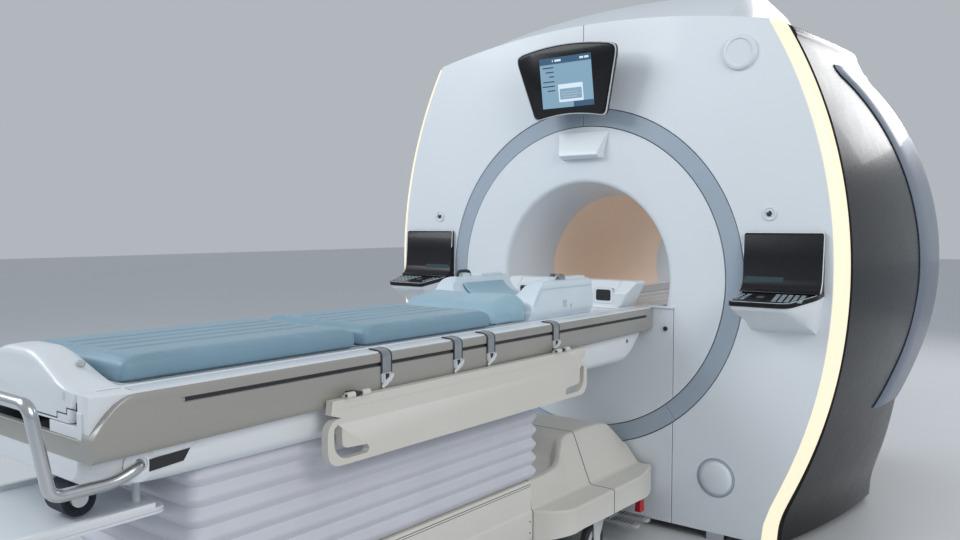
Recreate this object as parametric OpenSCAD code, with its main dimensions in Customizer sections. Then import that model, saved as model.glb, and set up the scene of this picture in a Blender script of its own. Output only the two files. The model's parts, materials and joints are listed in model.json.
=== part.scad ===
/* [Magnet] */
// Height of the bore axis above the floor
axis_h = 1000; // [960:5:1040]
// Clear diameter of the patient bore
bore_d = 700; // [640:10:720]
// Depth of the covered magnet, front face to rear face
magnet_d = 1700; // [1600:10:1900]
// Half width of the covers where they are widest
max_half_w = 1062; // [1040:2:1090]
// Height at which the covers are widest
widest_z = 1040; // [1000:5:1080]
// Radius of the long side curve in front view
side_r = 1840; // [1750:10:1950]
// Half width of the covers down at the floor
foot_half_w = 818; // [800:2:840]
// Height of the front face at its middle
face_top_z = 2045; // [2020:5:2080]
// Radius of the front face's top edge
face_top_r = 3500; // [3200:50:4200]
// Gap between the covers and the floor
floor_gap = 34; // [20:2:50]
// Wall of the moulded covers
cover_t = 12; // [8:1:16]
// Depth of the front cover's return edge
return_d = 45; // [36:1:60]
// Rise of the top cover over the front face
dome_rise = 205; // [160:5:230]
// Half width of the raised top cover at the front
dome_half_w = 672; // [640:2:700]
// Taper of the top cover's half width towards the rear
dome_taper = 0.13; // [0.1:0.01:0.15]
// Bulge of the side covers at mid depth
side_bulge = 45; // [30:1:60]
// Extra bulge of the side covers down at the floor
foot_bulge = 70; // [40:1:90]
// Inward slope of the side covers behind the wings
rear_slope = 0.24; // [0.2:0.01:0.26]
// Gap left at each visible seam between covers
seam = 3; // [2:0.5:4]
// Clearance between pieces that are seated on each other
fit = 0.3; // [0.2:0.1:0.5]

/* [Front ring and bore] */
// Outer radius of the ring trim
ring_ro = 698; // [690:1:704]
// Inner radius of the ring trim
ring_ri = 628; // [615:1:640]
// Radius of the bell mouth where it leaves the front disc
mouth_r = 398; // [390:1:410]
// Depth over which the bell mouth narrows to the bore
mouth_d = 316; // [260:2:340]
// Wall of the bell mouths and of the patient tube
tube_t = 8; // [5:1:10]

/* [Side wings] */
// Thickness of the crescent wings
wing_t = 16; // [10:1:20]
// Height of the wings' upper end
wing_top_z = 1822; // [1780:2:1830]
// Height of the wings' lower end
wing_low_z = 488; // [470:2:540]

/* [Light strips] */
// Width of the strip seen from the front
strip_w = 45; // [38:1:52]
// Depth of the strip seen from the side
strip_d = 48; // [46:1:56]
// Thickness of the light diffuser
strip_t = 14; // [10:1:18]

/* [Display] */
// Width of the display housing at its top
display_top_w = 480; // [440:5:520]
// Width of the display housing at its bottom
display_bot_w = 340; // [300:5:380]
// Height of the display housing
display_h = 300; // [270:5:330]
// Height of the middle of the display above the bore axis
display_z = 795; // [770:5:820]
// Distance from the front face to the middle of the display's glass
display_out = 132; // [110:1:150]
// Lean of the display towards the room
display_lean = 9; // [5:1:14]
// Thickness of the display housing
display_t = 58; // [50:1:70]

/* [Consoles] */
// Inner edge of each console, from the middle of the magnet
console_x = 702; // [690:2:720]
// Width of each console along the face
console_w = 286; // [260:2:300]
// Height of the console's screen
console_h = 206; // [180:2:220]
// Reach of the keypad out of the face
console_reach = 210; // [180:5:240]
// Height of the keypad's rear edge above the bore axis
console_z = -18; // [-40:2:0]
// Thickness of the console's black shell
console_t = 16; // [12:1:20]
// Depth of the white tray under the keypad
tray_h = 62; // [50:1:80]

/* [Docking] */
// Half width of the dock panel under the bore
dock_half_w = 417; // [400:1:430]
// Half width of the channel that the cradle runs in
channel_half_w = 268; // [266:1:272]
// Width of the tongue on the table's base
tongue_w = 60; // [50:1:70]
// Height of the tongue's section
tongue_t = 30; // [24:1:36]

/* [Table top] */
// Length of the table top
table_l = 2284; // [2200:10:2400]
// Half width of the table top over its side rails
rail_half_w = 330; // [322:1:334]
// Depth of the table's white rim below the bore axis
rim_drop = 110; // [100:2:120]
// Height of the side rail at the foot end
rail_h_foot = 126; // [116:2:136]
// Height of the side rail at the head end
rail_h_head = 88; // [80:2:100]
// Gap between the docked table and the front face
dock_gap = 6; // [5:1:10]
// Depth of the under-cover below the side rails
under_h = 74; // [68:2:80]
// Half width of the under-cover
under_half_w = 298; // [290:1:305]
// Diameter of the push handle's tube
handle_d = 25; // [20:1:30]
// Reach of the push handle past the foot end
handle_out = 100; // [80:5:110]

/* [Cradle] */
// Half width of the sliding cradle
cradle_half_w = 262; // [250:1:264]
// Depth of the cradle under the rim
cradle_h = 58; // [50:1:60]
// Travel of the cradle into the bore
cradle_travel = 1700; // [1500:10:1750]
// Thickness of the mattress
pad_h = 56; // [44:1:60]

/* [Side guards] */
// Length of each side guard
guard_l = 1180; // [1000:10:1200]
// Height of each side guard
guard_h = 160; // [150:2:166]
// Thickness of each side guard
guard_t = 22; // [18:1:24]
// Distance from the guard's head end to the front face
guard_y = 552; // [540:5:600]
// Diameter of the guard's hinge pins
guard_pin_d = 8; // [6:0.5:9]

/* [Lift and base] */
// Stroke of the lift
lift_stroke = 220; // [150:5:220]
// Height of the base's top edge above the floor
base_z = 360; // [350:2:366]
// Height of the base's bottom edge above the floor
base_low_z = 160; // [156:1:166]
// Half width of the base
base_half_w = 276; // [270:1:284]
// Half width of the bellows
bellows_half_w = 268; // [256:1:270]
// Number of pleats in the bellows
pleats = 7; // [5:1:9]
// Depth of one pleat
pleat_d = 13; // [9:1:16]
// Height of the head end casing
tower_z = 446; // [430:2:450]
// Half width of the casings over the casters
fender_half_w = 386; // [380:2:392]
// Radius of the lift's inner columns
inner_r = 58; // [50:1:62]

/* [Casters and pedals] */
// Diameter of the caster wheels
wheel_d = 125; // [110:1:126]
// Width of the caster wheels
wheel_w = 30; // [26:1:34]
// Trail between the caster's stem and its axle
trail = 34; // [28:1:36]
// Diameter of the caster's stem
stem_d = 24; // [20:1:28]
// Diameter of the wheel's axle
axle_d = 12; // [10:1:14]
// Diameter of the foot pedals' shafts
pedal_shaft_d = 18; // [14:1:20]
// Running clearance round stems, axles, shafts and pins, on the radius
run_gap = 0.05; // [0.02:0.01:0.08]

/* [Hidden] */
$fn = 64;

face_y = -magnet_d / 2;
rear_y = magnet_d / 2;
back_y = face_y + cover_t;
bore_r = bore_d / 2;
head_y = face_y - dock_gap;
foot_y = head_y - table_l;
rim_z = axis_h - rim_drop;
white = [0.93, 0.94, 0.95];
cream = [0.88, 0.86, 0.80];
taupe = [0.45, 0.44, 0.42];
black = [0.05, 0.05, 0.06];
steel = [0.70, 0.71, 0.73];
dark_steel = [0.32, 0.34, 0.37];

function reversed(v) = [for (i = [len(v) - 1:-1:0]) v[i]];
function steps(a, b, n) = [for (i = [0:n]) a + (b - a) * i / n];
function unit(v) = v / norm(v);
function clamp01(t) = max(0, min(1, t));
function ease(t) = clamp01(t) * clamp01(t) * (3 - 2 * clamp01(t));
function total(v, i = 0) = i >= len(v) - 1 ? v[i] : v[i] + total(v, i + 1);
function middle(ring) = total(ring) / len(ring);
function ring_normal(ring) = total([for (j = [0:len(ring) - 1]) cross(ring[j], ring[(j + 1) % len(ring)])]);
function flipped(ring) = [for (p = reversed(ring)) [-p[0], p[1]]];

// Closed outline whose corners are rounded, starting d before each corner
function rounded(pts, d, n = 4) = let (m = len(pts)) [for (i = [0:m - 1])
    let (p = pts[i], a = pts[(i + m - 1) % m], b = pts[(i + 1) % m],
         s = p + unit(a - p) * d, e = p + unit(b - p) * d)
    for (t = steps(0, 1, n)) s * (1 - t) * (1 - t) + p * 2 * t * (1 - t) + e * t * t];

// Open path whose inner corners are rounded, starting d before each corner
function bent(pts, d, n = 5) = concat([pts[0]], [for (i = [1:len(pts) - 2])
    let (p = pts[i], s = p + unit(pts[i - 1] - p) * d, e = p + unit(pts[i + 1] - p) * d)
    for (t = steps(0, 1, n)) s * (1 - t) * (1 - t) + p * 2 * t * (1 - t) + e * t * t],
    [pts[len(pts) - 1]]);

// Closed solid through rings of points that all have the same count
module skin(rings) {
    n = len(rings[0]);
    m = len(rings);
    along = middle(rings[m - 1]) - middle(rings[0]);
    out = ring_normal(rings[0]) * along > 0;
    points = [for (ring = rings) each (out ? ring : reversed(ring))];
    walls = [for (i = [0:m - 2]) for (j = [0:n - 1])
        [i * n + j, (i + 1) * n + j, (i + 1) * n + (j + 1) % n, i * n + (j + 1) % n]];
    ends = [[for (j = [0:n - 1]) j], [for (j = [n - 1:-1:0]) (m - 1) * n + j]];
    polyhedron(points = points, faces = concat(walls, ends), convexity = 8);
}

// Round bar along a path
module bar(path, r, sides = 12) {
    m = len(path);
    function heading(i) = unit(path[min(i + 1, m - 1)] - path[max(i - 1, 0)]);
    function across(t) = abs(t[2]) < 0.9 ? unit(cross(t, [0, 0, 1])) : unit(cross(t, [0, 1, 0]));
    function carried(i) = i == 0 ? across(heading(0)) :
        let (t = heading(i), u = carried(i - 1)) unit(u - t * (u * t));
    skin([for (i = [0:m - 1]) let (u = carried(i), v = cross(heading(i), u))
        [for (j = [0:sides - 1]) path[i] + r * (cos(360 * j / sides) * u + sin(360 * j / sides) * v)]]);
}

// Plate drawn in x and z, from y0 to y0 + t
module upright(y0, t) {
    translate([0, y0 + t, 0]) rotate([90, 0, 0]) linear_extrude(t) children();
}

// Plate drawn in y and z, from x0 to x0 + t
module sideways(x0, t) {
    translate([x0, 0, 0]) rotate([90, 0, 90]) linear_extrude(t) children();
}

// Body of revolution about the bore axis, drawn in radius and y
module about_bore() {
    translate([0, 0, axis_h]) rotate([-90, 0, 0]) rotate_extrude($fn = 96) children();
}

module mirrored() {
    children();
    mirror([1, 0, 0]) children();
}

// Half width of the covers at a height, seen from the front
side_cx = max_half_w - side_r;
foot_blend = 34;
blend_h = 400;
function arc_x(z) = side_cx + sqrt(side_r * side_r - (z - widest_z) * (z - widest_z));
function half_w(z) = let (a = arc_x(z), k = foot_blend * ease((widest_z - z) / blend_h))
    z > widest_z ? a : (a + foot_half_w + sqrt((a - foot_half_w) * (a - foot_half_w) + k * k)) / 2;
function top_z(x) = face_top_z - x * x / (2 * face_top_r);
corner_z = top_z(arc_x(face_top_z - 92));

// Outline of the face between the strips, drawn in by inset
edge_steps = 26;
function face_half(inset) = concat(
    [for (z = steps(floor_gap, corner_z - inset, edge_steps)) [half_w(z) - strip_w - inset, z]],
    [for (x = steps(half_w(corner_z) - strip_w - inset, 0, 12)) [x, top_z(x) - inset]]);
function face_outline(inset) = concat(face_half(inset),
    flipped([for (i = [0:len(face_half(inset)) - 2]) face_half(inset)[i]]));

plug_x = 600;
plug_z = axis_h - 750;
plug_r = 72;
pocket_floor = 4;
cradle_low_z = rim_z - 4 - cradle_h;
lip_z = rim_z + 3;
channel_z = cradle_low_z - 5;

// Outline of the dock panel: it fills the foot of the bore up to the table
function dock_outline(grow) = [[-dock_half_w - grow, floor_gap], [dock_half_w + grow, floor_gap],
    [dock_half_w + grow, lip_z + grow], [channel_half_w, lip_z + grow], [channel_half_w, channel_z],
    [-channel_half_w, channel_z], [-channel_half_w, lip_z + grow], [-dock_half_w - grow, lip_z + grow]];

module front_cover() {
    color(white) difference() {
        upright(face_y, return_d) polygon(face_outline(0));
        upright(back_y, return_d) polygon(face_outline(cover_t));
        about_bore() translate([0, face_y - 1]) square([ring_ro + seam, return_d + 2]);
        upright(face_y - 1, return_d + 2) translate([-dock_half_w - seam, 0])
            square([2 * (dock_half_w + seam), axis_h]);
        mirrored() translate([plug_x, back_y - pocket_floor, plug_z]) rotate([90, 0, 0])
            cylinder(r = plug_r + 1.5, h = cover_t);
    }
}

module dock_panel() {
    color(white) difference() {
        upright(face_y, cover_t) polygon(dock_outline(0));
        about_bore() translate([ring_ri - seam, face_y - 1])
            square([ring_ro - ring_ri + 2 * seam, cover_t + 2]);
    }
}

ring_joints = [90, -52, -128];

module ring_trim() {
    color([0.62, 0.68, 0.74]) difference() {
        about_bore() polygon([[ring_ri, back_y], [ring_ri, face_y + 4], [ring_ri + 2, face_y + 2],
            [ring_ro - 2, face_y + 2], [ring_ro, face_y + 4], [ring_ro, back_y]]);
        for (a = ring_joints) translate([0, 0, axis_h]) rotate([0, -a, 0])
            translate([ring_ri - 5, face_y - 1, -1]) cube([ring_ro - ring_ri + 10, cover_t - 4, 2]);
    }
}

// Radius of a bell mouth at a depth behind its face
function mouth_radius(d) = bore_r + (mouth_r - bore_r) * pow(1 - min(1, d / mouth_d), 1.6);
mouth_edge = 22;

module bell_section(lip_r) {
    wall_r = mouth_radius(mouth_edge);
    inner = [for (a = steps(0, 80, 4)) [wall_r + mouth_edge * (1 - sin(a)), mouth_edge * (1 - cos(a))]];
    throat = [for (d = steps(mouth_edge, mouth_d, 8)) [mouth_radius(d), d]];
    outer = [for (d = steps(mouth_d, mouth_edge + 2 * tube_t, 6)) [mouth_radius(d) + tube_t, d]];
    polygon(concat([[lip_r, 0]], inner, throat, outer,
        [[wall_r + tube_t + mouth_edge, cover_t], [lip_r, cover_t]]));
}

module bell_mouth() {
    color(white) difference() {
        about_bore() translate([0, face_y]) bell_section(ring_ri - seam);
        upright(face_y - 1, cover_t + 1) polygon([[-dock_half_w - seam, floor_gap], [dock_half_w + seam, floor_gap],
            [dock_half_w + seam, lip_z + seam], [-dock_half_w - seam, lip_z + seam]]);
    }
}

module bore_tube() {
    color([0.86, 0.76, 0.66]) about_bore() translate([bore_r, face_y + mouth_d])
        square([tube_t, magnet_d - 2 * mouth_d]);
}

body_coil_t = 24;
coil_gap = 4;
gradient_ri = bore_r + tube_t + body_coil_t + 2 * coil_gap;
gradient_ro = gradient_ri + 62;
vessel_ri = gradient_ro + coil_gap;
vessel_ro = 870;
cover_space = 100;
vessel_l = magnet_d - 2 * cover_space;
gradient_l = vessel_l - 220;
turret_h = 90;
turret_at = [240, 120];

module body_coil() {
    color([0.72, 0.52, 0.30]) about_bore() translate([bore_r + tube_t + fit, -0.3 * vessel_l])
        square([body_coil_t, 0.6 * vessel_l]);
}

module gradient_coil() {
    color([0.75, 0.70, 0.45]) {
        about_bore() translate([gradient_ri, -gradient_l / 2]) square([gradient_ro - gradient_ri, gradient_l]);
        for (s = [-1, 1]) {
            about_bore() translate([bore_r + tube_t + fit, s * vessel_l / 3 - 15])
                square([gradient_ri - bore_r - tube_t - fit, 30]);
            about_bore() translate([gradient_ro, s * 0.4 * vessel_l - 20]) square([coil_gap, 40]);
        }
    }
}

module cryostat() {
    color([0.80, 0.81, 0.82]) {
        about_bore() polygon(rounded([[vessel_ri, -vessel_l / 2], [vessel_ro, -vessel_l / 2],
            [vessel_ro, vessel_l / 2], [vessel_ri, vessel_l / 2]], 18, 3));
        translate([turret_at[0], turret_at[1], axis_h + vessel_ro - 60]) cylinder(r = 130, h = turret_h + 60);
    }
}

module cold_head() {
    color([0.75, 0.72, 0.60]) translate([turret_at[0], turret_at[1], axis_h + vessel_ro + turret_h]) {
        cylinder(r = 95, h = 26);
        translate([0, 0, 26]) cylinder(r = 52, h = 74);
        translate([0, 0, 100]) cylinder(r = 66, h = 24);
    }
}

// Steel floor frame with a saddle under each corner of the vessel
foot_x = 500;
foot_dy = 520;
bolt_x = 640;
frame_t = 30;

module floor_frame() {
    color(dark_steel) difference() {
        union() {
            for (y = [-foot_dy, foot_dy]) translate([-bolt_x - 60, y - 110, 0])
                cube([2 * bolt_x + 120, 220, frame_t]);
            for (x = [-foot_x, 0, foot_x]) translate([x - 90, -foot_dy, 0])
                cube([180, 2 * foot_dy, frame_t]);
            for (x = [-foot_x, foot_x], y = [-foot_dy, foot_dy])
                translate([x - 110, y - 80, 0]) cube([220, 160, 420]);
        }
        about_bore() translate([0, -foot_dy - 120]) square([vessel_ro, 2 * foot_dy + 240]);
        for (x = [-bolt_x, bolt_x], y = [-foot_dy, foot_dy])
            translate([x, y, -1]) cylinder(d = 26, h = frame_t + 2);
    }
}

// Sheet steel frame behind the front covers: a ring plate on two posts
module cover_frame() {
    post_x = 560;
    color(steel) {
        difference() {
            union() {
                about_bore() translate([ring_ri - 40, back_y]) square([ring_ro - ring_ri + 80, 10]);
                mirrored() translate([post_x, back_y, 0]) cube([70, 10, 1640]);
            }
            about_bore() translate([0, back_y - 1]) square([ring_ri - 40, 12]);
        }
        mirrored() translate([post_x, back_y, 0]) cube([70, -foot_dy - 110 - back_y, 8]);
        mirrored() translate([post_x, back_y, 1500]) cube([70, cover_space - cover_t, 8]);
    }
}

// Bulge of the side covers, and their taper behind the wings
function depth_share(y) = 1 - pow(y / (magnet_d / 2), 2);
function bulge(y, z) = depth_share(y) * (side_bulge + foot_bulge * (1 - ease((z - floor_gap) / 620)));
function wing_arc(z, y0, a, z0, up, down) = let (u = (z - z0) / (z > z0 ? up : down))
    y0 + a * sqrt(max(0, 1 - u * u));
function wing_z(z) = max(wing_low_z, min(wing_top_z - 30, z));
function wing_inner(z) = wing_arc(wing_z(z), face_y - 100, 1020, axis_h + 20, 839, 670);
function wing_outer(z) = wing_arc(wing_z(z), face_y + 250, 1166, axis_h + 50, 800, 670);
function side_x(y, z) = half_w(z) + bulge(y, z) - rear_slope * max(0, y - wing_outer(z));
function dome_w(y) = dome_half_w - dome_taper * (y - face_y);

// Grid lines of a side cover: the last five lie behind the wing's outer edge
side_lines = 15;
edge_line = 10;
shoulder_r = 60;
function side_y(i, z) = i <= edge_line
    ? face_y + strip_d + fit + (wing_outer(z) - face_y - strip_d - fit) * i / edge_line
    : wing_outer(z) + (rear_y - wing_outer(z)) * (i - edge_line) / (side_lines - edge_line);
function side_wall(i, inset) = [for (z = steps(floor_gap, corner_z - shoulder_r, 14))
    [side_x(side_y(i, z), z) - inset, side_y(i, z), z]];
function shoulder(i, inset) = let (z0 = corner_z - shoulder_r, y = side_y(i, z0), x0 = side_x(y, z0) - inset)
    [for (a = steps(22.5, 90, 3))
        [x0 - (shoulder_r + 14) * (1 - cos(a)), y, z0 + (shoulder_r - inset) * sin(a)]];
function side_line(i, inset) = let (y = side_y(i, corner_z - shoulder_r)) concat(
    side_wall(i, inset), shoulder(i, inset), [[dome_w(y) + fit, y, top_z(dome_w(y)) - inset - 6]]);

module side_cover() {
    skin([for (i = [0:side_lines]) concat(side_line(i, cover_t), reversed(side_line(i, 0)))]);
}

module side_cover_right() {
    color(black) side_cover();
}

module side_cover_left() {
    color(black) mirror([1, 0, 0]) side_cover();
}

// Crescent wing along the rear of each side cover
wing_gap = 0.9;
function wing_ring(z) = let (y0 = wing_inner(z), y1 = wing_outer(z), w = [0.35, 0.9, 1, 1, 1, 0.9, 0.4]) concat(
    [for (y = steps(y0, y1, 6)) [side_x(y, z) + wing_gap, y, z]],
    reversed([for (i = [0:6]) let (y = y0 + (y1 - y0) * i / 6) [side_x(y, z) + wing_gap + wing_t * w[i], y, z]]));

module side_wings() {
    color([0.30, 0.34, 0.42]) mirrored() skin([for (z = steps(wing_low_z, wing_top_z, 22)) wing_ring(z)]);
}

// Light strip between the front cover and a side cover
function strip_ring(z) = let (x = half_w(z)) [
    [x - strip_w + fit, face_y + 2, z], [x - strip_w * 0.42, face_y + strip_d * 0.40, z],
    [x - 2, face_y + strip_d, z], [x - strip_t, face_y + strip_d, z],
    [x - strip_w + fit, face_y + 2 + strip_t, z]];

module light_strips() {
    color([1, 0.97, 0.86]) mirrored() skin([for (z = steps(floor_gap, corner_z, edge_steps)) strip_ring(z)]);
}

// Raised top cover behind the front face
dome_start = face_y + return_d + fit;
rise_l = 650;
dome_edge = 60;
function rise(y) = dome_rise * sin(90 * clamp01((y - dome_start) / rise_l))
    * (0.4 + 0.6 * cos(90 * clamp01((y - rear_y + rise_l) / rise_l)));
function dome_line(y, inset) = let (w = dome_w(y) - inset, k = w - 72, h = rise(y) - inset)
    concat([[w, y, top_z(w) - dome_edge], [w, y, top_z(w) - inset]],
        [for (x = steps(k, -k, 14)) [x, y, top_z(x) + h]],
        [[-w, y, top_z(w) - inset], [-w, y, top_z(w) - dome_edge]]);

module top_cover() {
    color(white) skin([for (y = steps(dome_start, rear_y, 14))
        concat(dome_line(y, 0), reversed(dome_line(y, cover_t)))]);
}

// Rear cover with its own bell mouth, set inside the side and top covers
rear_open_r = 520;

module rear_cover() {
    inset = cover_t + fit;
    side = concat(side_wall(side_lines, inset), shoulder(side_lines, inset));
    dome = dome_line(rear_y, inset + 8);
    flange_in = dome_w(rear_y) - cover_t - fit;
    flange_out = dome_w(rear_y - cover_t) + fit;
    edge = concat([for (p = side) [p[0], p[2]]], [for (i = [1:len(dome) - 2]) [dome[i][0], dome[i][2]]]);
    color(white) {
        difference() {
            upright(rear_y - cover_t, cover_t) polygon(concat(edge, flipped([for (p = side) [p[0], p[2]]])));
            about_bore() translate([0, rear_y - cover_t - 1]) square([rear_open_r, cover_t + 2]);
            mirrored() translate([flange_in, rear_y - cover_t - 1, top_z(flange_in) - dome_edge - 4])
                cube([flange_out - flange_in, cover_t + 2, dome_edge + 20]);
        }
        about_bore() translate([0, rear_y]) mirror([0, 1]) bell_section(rear_open_r);
    }
}

// Display: trapezoid with a crowned top and a hollow bottom edge
function display_face(grow) = let (tw = display_top_w / 2 + grow, bw = display_bot_w / 2 + grow,
    h = display_h / 2 + grow) concat(
        [for (t = steps(-0.94, 0.94, 8)) [bw * t, -h + 20 * (1 - t * t)]],
        [[bw + 2, -h + 16], [tw, h - 44]],
        [for (t = steps(0.95, -0.95, 8)) [tw * t, h - 26 * t * t]],
        [[-tw, h - 44], [-bw - 2, -h + 16]]);
screen_w = 244;
screen_h = 202;
screen_cut = 4;
bracket_w = 150;
bracket_h = 80;

module display_pose() {
    translate([0, face_y - display_out, axis_h + display_z]) rotate([90 - display_lean, 0, 0]) children();
}

module display_housing() {
    color(black) display_pose() difference() {
        skin([for (s = [[0, -4], [-4, 0], [-18, 0], [-display_t * 0.7, -18], [-display_t, -56]])
            [for (p = display_face(s[1])) [p[0], p[1], s[0]]]]);
        translate([-screen_w / 2, -screen_h / 2, -screen_cut]) cube([screen_w, screen_h, screen_cut + 1]);
    }
}

module display_screen() {
    color([0.75, 0.85, 0.95]) display_pose() translate([-screen_w / 2 + fit, -screen_h / 2 + fit, -screen_cut])
        cube([screen_w - 2 * fit, screen_h - 2 * fit, screen_cut - 1]);
}

module display_bracket() {
    color([0.25, 0.26, 0.28]) difference() {
        translate([-bracket_w / 2, face_y - display_out, axis_h + display_z - bracket_h / 2 - 6])
            cube([bracket_w, display_out, bracket_h]);
        display_pose() translate([-bracket_w, -bracket_w, -display_t]) cube([2 * bracket_w, 2 * bracket_w, 400]);
    }
}

// Console: black screen and keypad in one shell, on a white tapered tray
keypad_z = axis_h + console_z;
keypad_drop = 32;

module console_plan(grow) {
    reach = console_reach + grow;
    polygon([[console_x - grow, face_y], [console_x + 6 - grow, face_y - 50],
        [console_x + 16 - grow, face_y - reach + 14], [console_x + 28 - grow, face_y - reach],
        [console_x + console_w - 62 + grow, face_y - reach], [console_x + console_w - 44 + grow, face_y - reach + 16],
        [console_x + console_w + grow, face_y - 60], [console_x + console_w + grow, face_y]]);
}

module console_panels() {
    shell = [[face_y, keypad_z + console_h], [face_y - 14, keypad_z + console_h],
        [face_y - 32, keypad_z + 18], [face_y - 50, keypad_z + 1],
        [face_y - console_reach, keypad_z - keypad_drop],
        [face_y - console_reach, keypad_z - keypad_drop - console_t],
        [face_y, keypad_z - console_t]];
    color(black) mirrored() intersection() {
        sideways(console_x - 10, console_w + 20) polygon(shell);
        translate([0, 0, keypad_z - 100]) linear_extrude(console_h + 110) console_plan(0);
    }
}

function shell_floor(out) = keypad_z - console_t - fit - keypad_drop * out / console_reach;
function tray_ring(s) = let (reach = console_reach - 90 * s * s, drop = tray_h * s,
    x0 = console_x + 26 * s, x1 = console_x + console_w - 30 * s,
    zb = shell_floor(0) - drop * 2.2, zm = shell_floor(60) - drop * 1.7, zf = shell_floor(reach) - drop) [
    [x0, face_y, zb], [x0 + 6, face_y - 60, zm], [x0 + 22, face_y - reach, zf],
    [x1 - 50, face_y - reach, zf], [x1, face_y - 60, zm], [x1, face_y, zb]];

module console_trays() {
    color(white) mirrored() skin([for (s = [0, 0.35, 0.75, 1]) tray_ring(s)]);
}

// Round fittings on the face: plugs in their pockets, a bare boss and two lenses
lens_x = 790;
lens_z = axis_h + 258;
boss_at = [670, axis_h + 850];

module face_fittings() {
    color(white) {
        mirrored() translate([plug_x, back_y - pocket_floor, plug_z]) rotate([90, 0, 0]) rotate_extrude()
            polygon([[0, 0], [plug_r, 0], [plug_r, cover_t - pocket_floor - 3],
                [plug_r - 3, cover_t - pocket_floor], [plug_r - 8, cover_t - pocket_floor],
                [0, cover_t - pocket_floor - 5]]);
        translate([boss_at[0], face_y, boss_at[1]]) rotate([90, 0, 0]) rotate_extrude()
            polygon([[0, 0], [66, 0], [66, 4], [62, 12], [55, 15], [50, 15], [47, 11], [0, 11]]);
        mirrored() translate([lens_x, face_y, lens_z]) rotate([90, 0, 0]) rotate_extrude()
            polygon([[0, 0], [26, 0], [26, 4], [20, 5], [19, 2], [12, 2], [11, 6], [0, 6]]);
    }
}

// Pod under the top of the ring, with a lip along its lower edge
pod_top = 604;
pod_bot = 492;

module pod_cover() {
    color(white) skin([for (s = [[pod_bot, 100, 26], [pod_bot + 12, 102, 44], [pod_bot + 30, 105, 40],
        [pod_bot + 80, 118, 16], [pod_top, 128, 6]])
        [[-s[1], face_y, axis_h + s[0]], [-s[1] + 10, face_y - s[2], axis_h + s[0]],
            [0, face_y - s[2] - 5, axis_h + s[0]],
            [s[1] - 10, face_y - s[2], axis_h + s[0]], [s[1], face_y, axis_h + s[0]]]]);
}

// Bridge on the floor of the bore, with a channel for the cradle
module bore_bridge() {
    x = bore_r;
    color(white) intersection() {
        upright(back_y + fit, magnet_d - 2 * cover_t - fit) difference() {
            translate([-x, axis_h - x]) square([2 * x, lip_z - axis_h + x]);
            translate([-channel_half_w, channel_z]) square([2 * channel_half_w, 400]);
            translate([-channel_half_w - 3, channel_z + 20]) square([2 * channel_half_w + 6, 12]);
            for (g = [-150, 150]) translate([g - 14, channel_z - 6]) square([28, 10]);
        }
        about_bore() translate([0, face_y]) square([bore_r - fit, magnet_d]);
    }
}

// Receiver on the floor that takes the tongue of the table's base
receiver_w = 150;
receiver_d = 60;
receiver_h = 118;
tongue_z = 62;
tongue_gap = fit;

module dock_receiver() {
    color(steel) difference() {
        translate([-receiver_w / 2, face_y - receiver_d, 0]) cube([receiver_w, receiver_d, receiver_h]);
        translate([-tongue_w / 2 - tongue_gap, face_y - receiver_d - 1, tongue_z - tongue_gap])
            cube([tongue_w + 2 * tongue_gap, receiver_d - 9, tongue_t + 2 * tongue_gap]);
    }
}

// Layout of the table's base
casters_y = [face_y - 378, foot_y + 174];
caster_x = 300;
bellows_y0 = foot_y + 252;
bellows_y1 = face_y - 706;
columns_y = [bellows_y1 - 344, bellows_y0 + 278];
base_head_y = face_y - 767;
base_foot_y = foot_y + 240;
nose_y = face_y - 20;
crown_z = wheel_d + 14;
deck_z = 178;
beam_t = 50;
cross_t = 44;
cross_z = deck_z - 24;
base_wall = 8;
column_r = inner_r + 12;
column_low = 92;
column_top = 460;
dock_shaft = [face_y - 76, 140];
lift_shaft = [face_y - 256, 146];
pedal_shaft_l = 536;
lever_pin = [face_y - 92, 196];
lever_x = 316;
lever_t = 22;
lever_pin_r = 6;

module base_frame() {
    reach = base_half_w - base_wall - fit;
    color(dark_steel) {
        difference() {
            union() {
                for (x = [-200, 200]) translate([x - 30, foot_y + 120, deck_z])
                    cube([60, nose_y - 60 - foot_y - 120, beam_t]);
                for (plan = [head_plan(cover_t + fit), foot_plan(cover_t + fit)]) intersection() {
                    translate([0, 0, cross_z]) linear_extrude(cross_t) polygon(plan);
                    for (y = casters_y) translate([-fender_half_w, y - 34, cross_z])
                        cube([2 * fender_half_w, 68, cross_t]);
                }
                translate([-230, nose_y - 110, deck_z]) cube([460, 50, beam_t]);
                for (y = columns_y) translate([-reach, y - 90, deck_z + 4]) cube([2 * reach, 180, 20]);
                for (x = [-222, 206], s = [dock_shaft, lift_shaft])
                    translate([x, s[0] - 16, s[1] - 16]) cube([16, 32, deck_z + 2 - s[1] + 16]);
                translate([-lever_x + fit, lever_pin[0] - 12, lever_pin[1] - 12]) cube([2 * lever_x - 2 * fit, 24, 24]);
            }
            for (x = [-caster_x, caster_x], y = casters_y)
                translate([x, y, cross_z - 1]) cylinder(r = stem_d / 2 + run_gap, h = 31);
            for (y = columns_y) translate([0, y, deck_z]) cylinder(r = column_r, h = 40);
            for (s = [dock_shaft, lift_shaft]) translate([-240, s[0], s[1]]) rotate([0, 90, 0])
                cylinder(r = pedal_shaft_d / 2 + run_gap, h = 480);
        }
        translate([-lever_x - lever_t, lever_pin[0], lever_pin[1]]) rotate([0, 90, 0])
            cylinder(r = lever_pin_r, h = 2 * (lever_x + lever_t));
        translate([-tongue_w / 2, nose_y - 130, tongue_z]) cube([tongue_w, 130 - 2, tongue_t]);
        translate([-tongue_w / 2, nose_y - 130, tongue_z]) cube([tongue_w, 30, deck_z - tongue_z + 5]);
    }
}

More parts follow.
